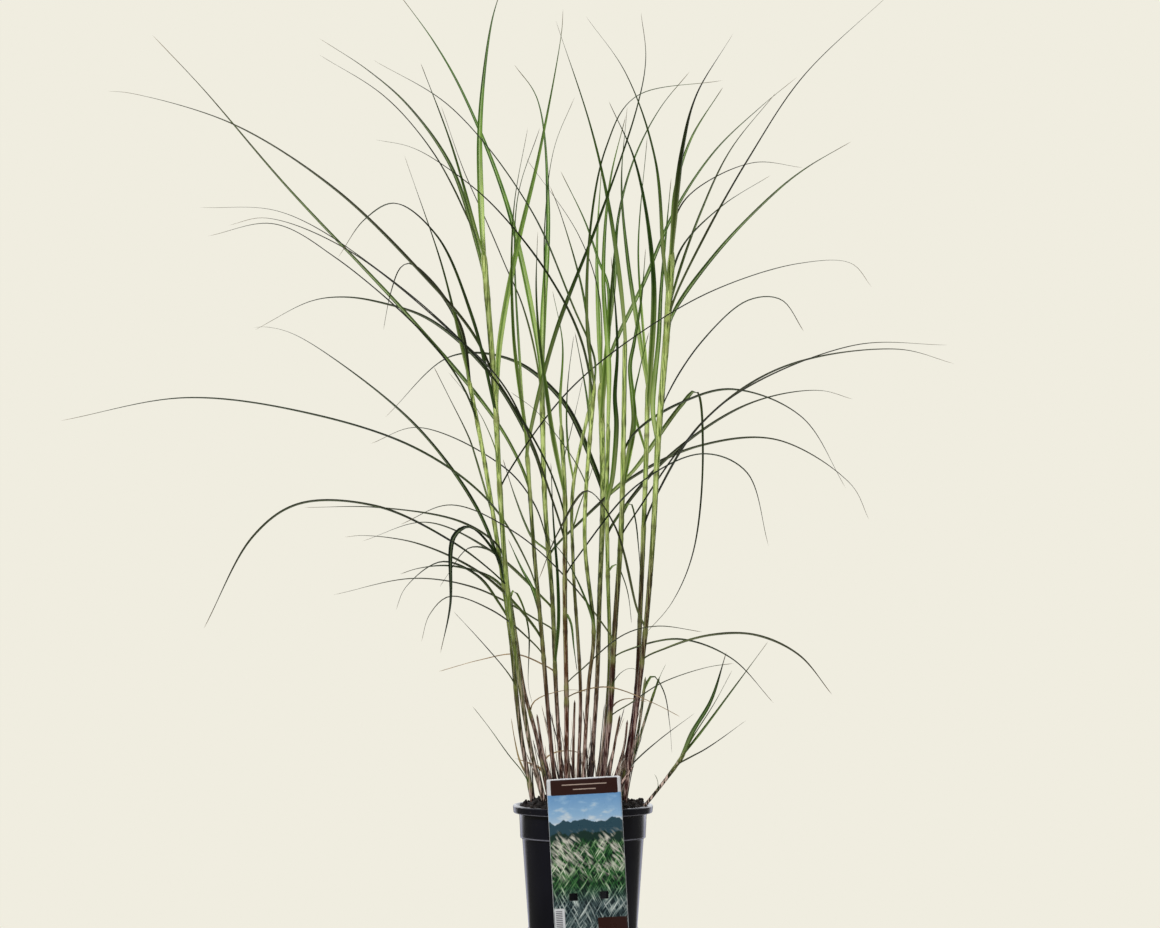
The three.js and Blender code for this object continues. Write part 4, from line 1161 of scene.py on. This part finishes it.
# Rings of a folded blade with a keel, level across the way that it heads, rolled and then twisted
def bladeRings(line, share, width, twist, wave):
    form = bladeForm
    along = unit(np.gradient(line, axis=0))
    heading = unit((line[-1] - line[0]) * (1, 1, 0))
    level = np.array([heading[1], -heading[0], 0])
    across = unit(level - along * (along @ level)[:, None])
    ripple, fine, coarse = form["ripple"]
    ripple = ripple * np.sin(share * fine + wave) * np.sin(share * coarse + 2 * wave)
    turn = (form["roll"] * (1 + share) * np.sign(heading[0]) + twist * share**2 + ripple)[:, None]
    across = across * np.cos(turn) + np.cross(along, across) * np.sin(turn)
    up = np.cross(across, along)
    half = bladeWidth(width, share)[:, None] / 2
    fold = (form["foldAtRoot"] + (form["foldAtTip"] - form["foldAtRoot"]) * np.sqrt(share))[:, None]
    lift = (np.abs(form["columns"]) ** form["foldPower"] - form["foldMiddle"]) * fold * half
    wall = np.array([0, 0, 0, 0, 0, form["thickness"], form["keel"], form["thickness"]])
    lift = lift - wall * np.minimum(1, half / form["thinBelow"])
    side = form["columns"] * half
    rings = line[:, None] + side[..., None] * across[:, None] + lift[..., None] * up[:, None]
    rings[-1] = line[-1]
    return rings


def addBlade(bm, rings, share, tint, dry, pale):
    fade = pale * np.clip(1 - share / bladeForm["paleReach"], 0, 1)
    values = [share[:, None], bladeForm["columns"], bladeForm["upper"], tint, dry, fade[:, None]]
    marks = {name: np.broadcast_to(value, rings.shape[:2]) for name, value in zip(bladeForm["marks"], values)}
    rollGrid(bm, rings, marks)


def leanShade(lean, upright, change, least, most, drawn=0.0):
    return float(np.clip(upright + change * lean + drawn, least, most))


def addBlades(stem, name, node, corners, wisps, draw):
    form = bladeForm
    bm = newMarked(form["marks"])
    for blade in stem["blades"] + wisps:
        reach = blade[2] if blade in wisps else solidReach(corners, stem, blade)
        line, share = bladeLine(stem, blade, reach)
        lean = abs(line[-1, 0] - line[0, 0]) / max(form["leastRise"], abs(line[-1, 2] - line[0, 2]))
        # Painted shade: the more a blade leans, the darker it is, with a random part
        tint = leanShade(lean, *form["shadeByLean"], draw.uniform(*form["tintDraw"]))
        dry = draw.uniform(*form["dryDraw" if blade[0] in stem.get("dry", []) else "freshDraw"])
        # Paleness: partly the paler base of upright blades, partly painted highlight
        pale = leanShade(lean, *form["pale"]) if blade[0] > form["paleFrom"] else form["lowPale"]
        twist = draw.uniform(-1, 1) * form["twist"]
        rings = bladeRings(line, share, blade[1], twist, draw.uniform(*form["waveDraw"]))
        addBlade(bm, rings, share, tint, dry, pale)
    capRoots(bm)
    finishPiece(bm, name, bladeMaterial, [node], crease=form["crease"])


def rodRings(line, radius):
    along = unit(np.gradient(line, axis=0))
    side = unit(np.cross((0, 1, 0), along))
    back = np.cross(along, side)
    turn = np.linspace(0, 2 * math.pi, stemForm["sides"], endpoint=False)[None, :, None]
    circle = np.cos(turn) * side[:, None] + np.sin(turn) * back[:, None]
    rings = line[:, None] + radius[:, None, None] * circle
    rings[-1] = line[-1]
    return rings


# The culm with its leaf sheaths: each ends in a mouth where its blade leaves, and joints lie below
def culmShape(stem, draw):
    form = stemForm
    line = culmLine(stem, round(lengthOf(stem["culm"]) / form["ringStep"]))
    down = unit(line[0] - line[1])
    sink = (line[0, 2] - form["footHeight"]) / -down[2]
    buried = line[0] + down * np.linspace(sink, 0, form["footRings"], endpoint=False)[:, None]
    line = np.vstack([buried, line])
    run = np.linspace(0, 1, len(line))
    foot, top = stem["girth"]
    radius = (foot + (top - foot) * run**2) / 2
    height = line[:, 2]
    tint = np.full(len(line), draw.random())
    joint = np.zeros(len(line))
    collar = np.zeros(len(line))
    reach = form["mouthLength"]
    for mouth in sorted({blade[0] for blade in stem["blades"]}):
        below = np.clip((height - mouth + reach) / reach, 0, 1) * (height < mouth)
        radius = radius + form["mouth"] * below**2
        collar = np.maximum(collar, np.exp(-(((height - mouth) / form["collarWidth"]) ** 2)))
        tint[height >= mouth] = draw.random()
    level = draw.uniform(*form["firstJoint"])
    while level < height[-1] - form["jointFree"]:
        near = np.exp(-(((height - level) / form["jointWidth"]) ** 2))
        radius = radius + form["joint"] * near
        joint = np.maximum(joint, near)
        level += draw.uniform(*form["jointGaps"])
    rings = rodRings(line, radius * np.sqrt(np.clip((form["topEnd"] - run) / form["topShare"], 0, 1)))
    turn = np.linspace(0, 2 * math.pi, form["sides"], endpoint=False)
    # The edge mark is 1 on the culm's left and right sides and 0 at its front and back; the material paints
    # shade by it
    values = {"tint": tint[:, None], "joint": joint[:, None], "collar": collar[:, None],
              "edge": np.abs(np.cos(turn)) ** form["sideShadePower"]}
    return rings, {name: np.broadcast_to(value, rings.shape[:2]) for name, value in values.items()}


def addCulm(stem, name, node, draw):
    bm = newMarked(["tint", "joint", "collar", "edge"])
    rollGrid(bm, *culmShape(stem, draw))
    capRoots(bm)
    finishPiece(bm, name, culmMaterials[stem["colour"]], [node])


def makeBladeMaterial():
    form = bladeFinish
    material, tree, shader = newMaterial("grassBlade")
    along, across, upper, tint, dry, pale = readMarks(tree, bladeForm["marks"])
    side = addMath(tree, "ABSOLUTE", across)
    mottle = addGrain(tree, *form["mottle"])
    uneven = addMath(tree, "MULTIPLY_ADD", addMath(tree, "SUBTRACT", mottle, 0.5), form["mottleShare"], tint)
    shade = addMath(tree, "MULTIPLY_ADD", along, form["tipShade"], uneven)
    # Painted shade: dark for leaning blades and towards the tips, light for upright ones
    green = addRamp(tree, shade, [(0.0, form["dark"]), (0.5, form["middle"]), (1.0, form["light"])])
    # paler above the roots of upright blades: partly their colour, partly painted highlight
    green = addMix(tree, multiply(tree, pale, form["paleShare"]), green, form["pale"])
    # painted shade on the lower face
    green = addMix(tree, addFade(tree, upper, *form["underShadeFade"]), green, form["under"])
    # the white midrib shows less on blades with deeper painted shade
    rib = [addFade(tree, side, *form["ribFade"]), addFade(tree, along, *form["ribRunOut"]), upper,
           addFade(tree, tint, *form["ribTint"])]
    green = addMix(tree, multiply(tree, *rib), green, form["rib"])
    # Painted shade: a broad dark band across the folded blade, placed by its tint, and darker margins; the
    # same band drives a shallow bump
    shift = multiply(tree, tint, form["foldShadeShift"])
    foldShade = addMath(tree, "SINE", addMath(tree, "MULTIPLY_ADD", across, form["foldShade"], shift))
    edge = addFade(tree, side, *form["edgeFade"])
    foldAndMarginShade = addMath(tree, "MAXIMUM", addFade(tree, foldShade, *form["foldShadeFade"]), edge)
    green = addMix(tree, foldAndMarginShade, green, form["groove"], "MULTIPLY")
    frayed = addMath(tree, "MULTIPLY_ADD", mottle, form["tipFray"], along)
    green = addMix(tree, addFade(tree, frayed, *form["tipFade"]), green, form["tip"])
    setInputs(tree, shader, {
        "Base Color": addMix(tree, dry, green, addRamp(tree, mottle, form["straw"])),
        "Roughness": addFade(tree, mottle, *form["roughness"]),
        "Specular IOR Level": form["gloss"],
        "Normal": addBump(tree, foldShade, *form["bump"]),
    })
    return material


def makeCulmMaterial(colour):
    form = culmFinish
    material, tree, shader = newMaterial(f"{colour}Culm")
    tint, joint, collar, side = readMarks(tree, ["tint", "joint", "collar", "edge"])
    height = readAxes(tree, readPlace(tree))["Z"]
    uneven = addMath(tree, "MULTIPLY_ADD", addMath(tree, "SUBTRACT", tint, 0.5), form["unevenness"], height)
    stops = list(zip(form["places"], form["colours"][colour]))
    skin = addRamp(tree, addFade(tree, uneven, *form["reach"]), stops)
    # Streaks: the dark ones are the culm's striping, the pale ones partly striping and partly painted
    # highlight
    streaks = addGrain(tree, *form["streaks"])
    fades = [addFade(tree, height, *form[name]) for name in ("dryFade", "freshFade")]
    strength = addMath(tree, "MAXIMUM", *fades)
    fresh = addFade(tree, height, *form["freshReach"])
    pale = addMix(tree, fresh, form["streak"], form["freshStreak"])
    deep = addMix(tree, fresh, form["groove"], form["freshGroove"])
    skin = addMix(tree, multiply(tree, addFade(tree, streaks, *form["lightFade"]), strength), skin, pale)
    skin = addMix(tree, multiply(tree, addFade(tree, streaks, *form["darkFade"]), strength), skin, deep)
    # Painted shade on the culm's left and right sides
    skin = addMix(tree, multiply(tree, side, form["sideShade"]), skin, deep)
    skin = addMix(tree, multiply(tree, joint, form["ringShare"]), skin, form["ring"])
    setInputs(tree, shader, {
        "Base Color": addMix(tree, multiply(tree, collar, form["collarShare"]), skin, form["collar"]),
        "Roughness": addFade(tree, streaks, *form["roughness"]),
        "Specular IOR Level": form["gloss"],
        "Normal": addBump(tree, streaks, *form["bump"]),
    })
    return material


bladeMaterial = makeBladeMaterial()
culmMaterials = {colour: makeCulmMaterial(colour) for colour in culmFinish["colours"]}

for index, stem in enumerate(leafyStems, start=1):
    node, name = f"leafy_stem_{index:02d}", f"leafyStem{index:02d}"
    corners = np.array([vertex.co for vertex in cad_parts[node].data.vertices]) / mm
    draw = random.Random(index)
    addCulm(stem, name + "Culm", node, draw)
    addBlades(stem, name + "Blades", node, corners, stemForm["wisps"].get(index, []), draw)
print("leafy stems ready:", len(leafyStems))


# Dead stubs: the depth and the route of each

deadStubs = [
    (-12, [[-39, 205], [-48, 236], [-56, 285]]),
    (-20, [[-12, 205], [-11.5, 250], [-10, 302]]),
    (38, [[38, 205], [50, 245], [54, 278]]),
    (-40, [[46, 200], [62, 222]]),
    (12, [[-12, 205], [-16, 226]]),
    (-45, [[31, 205], [37, 240], [45, 284]]),
]
stubForm = {"girth": [4, 2.4], "colour": "tan", "blades": [], "seed": 40}

for index, (depth, culm) in enumerate(deadStubs, start=1):
    stub = dict(stubForm, depth=depth, culm=culm)
    addCulm(stub, f"deadStub{index}", f"stub_{index}", random.Random(stub["seed"] + index))
print("stubs ready:", len(deadStubs))


# Dry leaf sheaths: flakes that peel from each culm's foot, and spikes between the culms

drySheaths = {
    "seed": 77,
    "stems": 13,  # the green ones after them have none
    "flakes": 3,  # round each culm
    "spikes": 66,
    "spikeReach": 44,  # how far from the middle of the clump they stand
    "spikeLean": 130,
    "leanDraw": (-0.1, 0.1),
    "flakeHeights": (34, 88),
    "spikeHeights": (26, 126),
    "root": 176,
    "spikeFoot": 190,
    "fewestRings": 6,
    "ringStep": 6,
    "leanAt": 6,
    "gap": 0.25,
    "peel": (1, 9),
    "peelPower": 2.2,
    "widths": (1.2, 2.8),
    "twists": (-1.5, 1.5),
    "streaks": (700, (1, 1, 0.05), 3, 0.6),
    "streakShare": 1.6,
    "colours": [(0.0, (0.012, 0.007, 0.006)), (0.45, (0.060, 0.032, 0.024)), (0.75, (0.28, 0.185, 0.13)),
                (1.0, (0.62, 0.50, 0.38))],
    "roughness": (0.3, 0.7, 0.5, 0.75),
    "bump": (0.5, 0.12),
}


# Where each flake and spike stands, which way it leans, and the radius of its culm
def sheathFeet(draw):
    form = drySheaths
    feet = []
    for stem in leafyStems[:form["stems"]]:
        line = culmLine(stem, stemForm["samples"])
        feet += [(line[0], unit(line[form["leanAt"]] - line[0]), stem["girth"][0] / 2)] * form["flakes"]
    for _ in range(form["spikes"]):
        radius, turn = form["spikeReach"] * math.sqrt(draw.random()), draw.uniform(0, 2 * math.pi)
        x, y = radius * math.cos(turn), radius * math.sin(turn)
        lean = [side / form["spikeLean"] + draw.uniform(*form["leanDraw"]) for side in (x, y)]
        feet.append((np.array([x, y, form["spikeFoot"]]), unit(np.array([*lean, 1])), 0))
    return feet


def addSheaths(material):
    form = drySheaths
    draw = random.Random(form["seed"])
    bm = newMarked(bladeForm["marks"])
    for foot, lean, girth in sheathFeet(draw):
        turn = draw.uniform(0, 2 * math.pi)
        out = np.array([math.cos(turn), math.sin(turn), 0])
        height = draw.uniform(*form["flakeHeights" if girth else "spikeHeights"])
        share = np.linspace(0, 1, max(form["fewestRings"], round(height / form["ringStep"])))
        start = foot - lean * (foot[2] - form["root"]) / lean[2] + out * (girth + form["gap"])
        peel = draw.uniform(*form["peel"]) * share ** form["peelPower"]
        line = start + lean * (height * share)[:, None] + out * peel[:, None]
        ranges = form["widths"], form["twists"], bladeForm["waveDraw"]
        rings = bladeRings(line, share, *(draw.uniform(*limits) for limits in ranges))
        addBlade(bm, rings, share, draw.random(), 1.0, 0.0)
    capRoots(bm)
    finishPiece(bm, "dryLeafSheaths", material, crease=bladeForm["crease"])


def makeSheathMaterial():
    form = drySheaths
    material, tree, shader = newMaterial("dryLeafSheath")
    streaks = addGrain(tree, *form["streaks"])
    [tint] = readMarks(tree, ["tint"])
    shade = addMath(tree, "MULTIPLY_ADD", addMath(tree, "SUBTRACT", streaks, 0.5), form["streakShare"], tint)
    setInputs(tree, shader, {
        "Base Color": addRamp(tree, shade, form["colours"]),
        "Roughness": addFade(tree, streaks, *form["roughness"]),
        "Normal": addBump(tree, streaks, *form["bump"]),
    })
    return material


addSheaths(makeSheathMaterial())
print("dry sheaths ready")
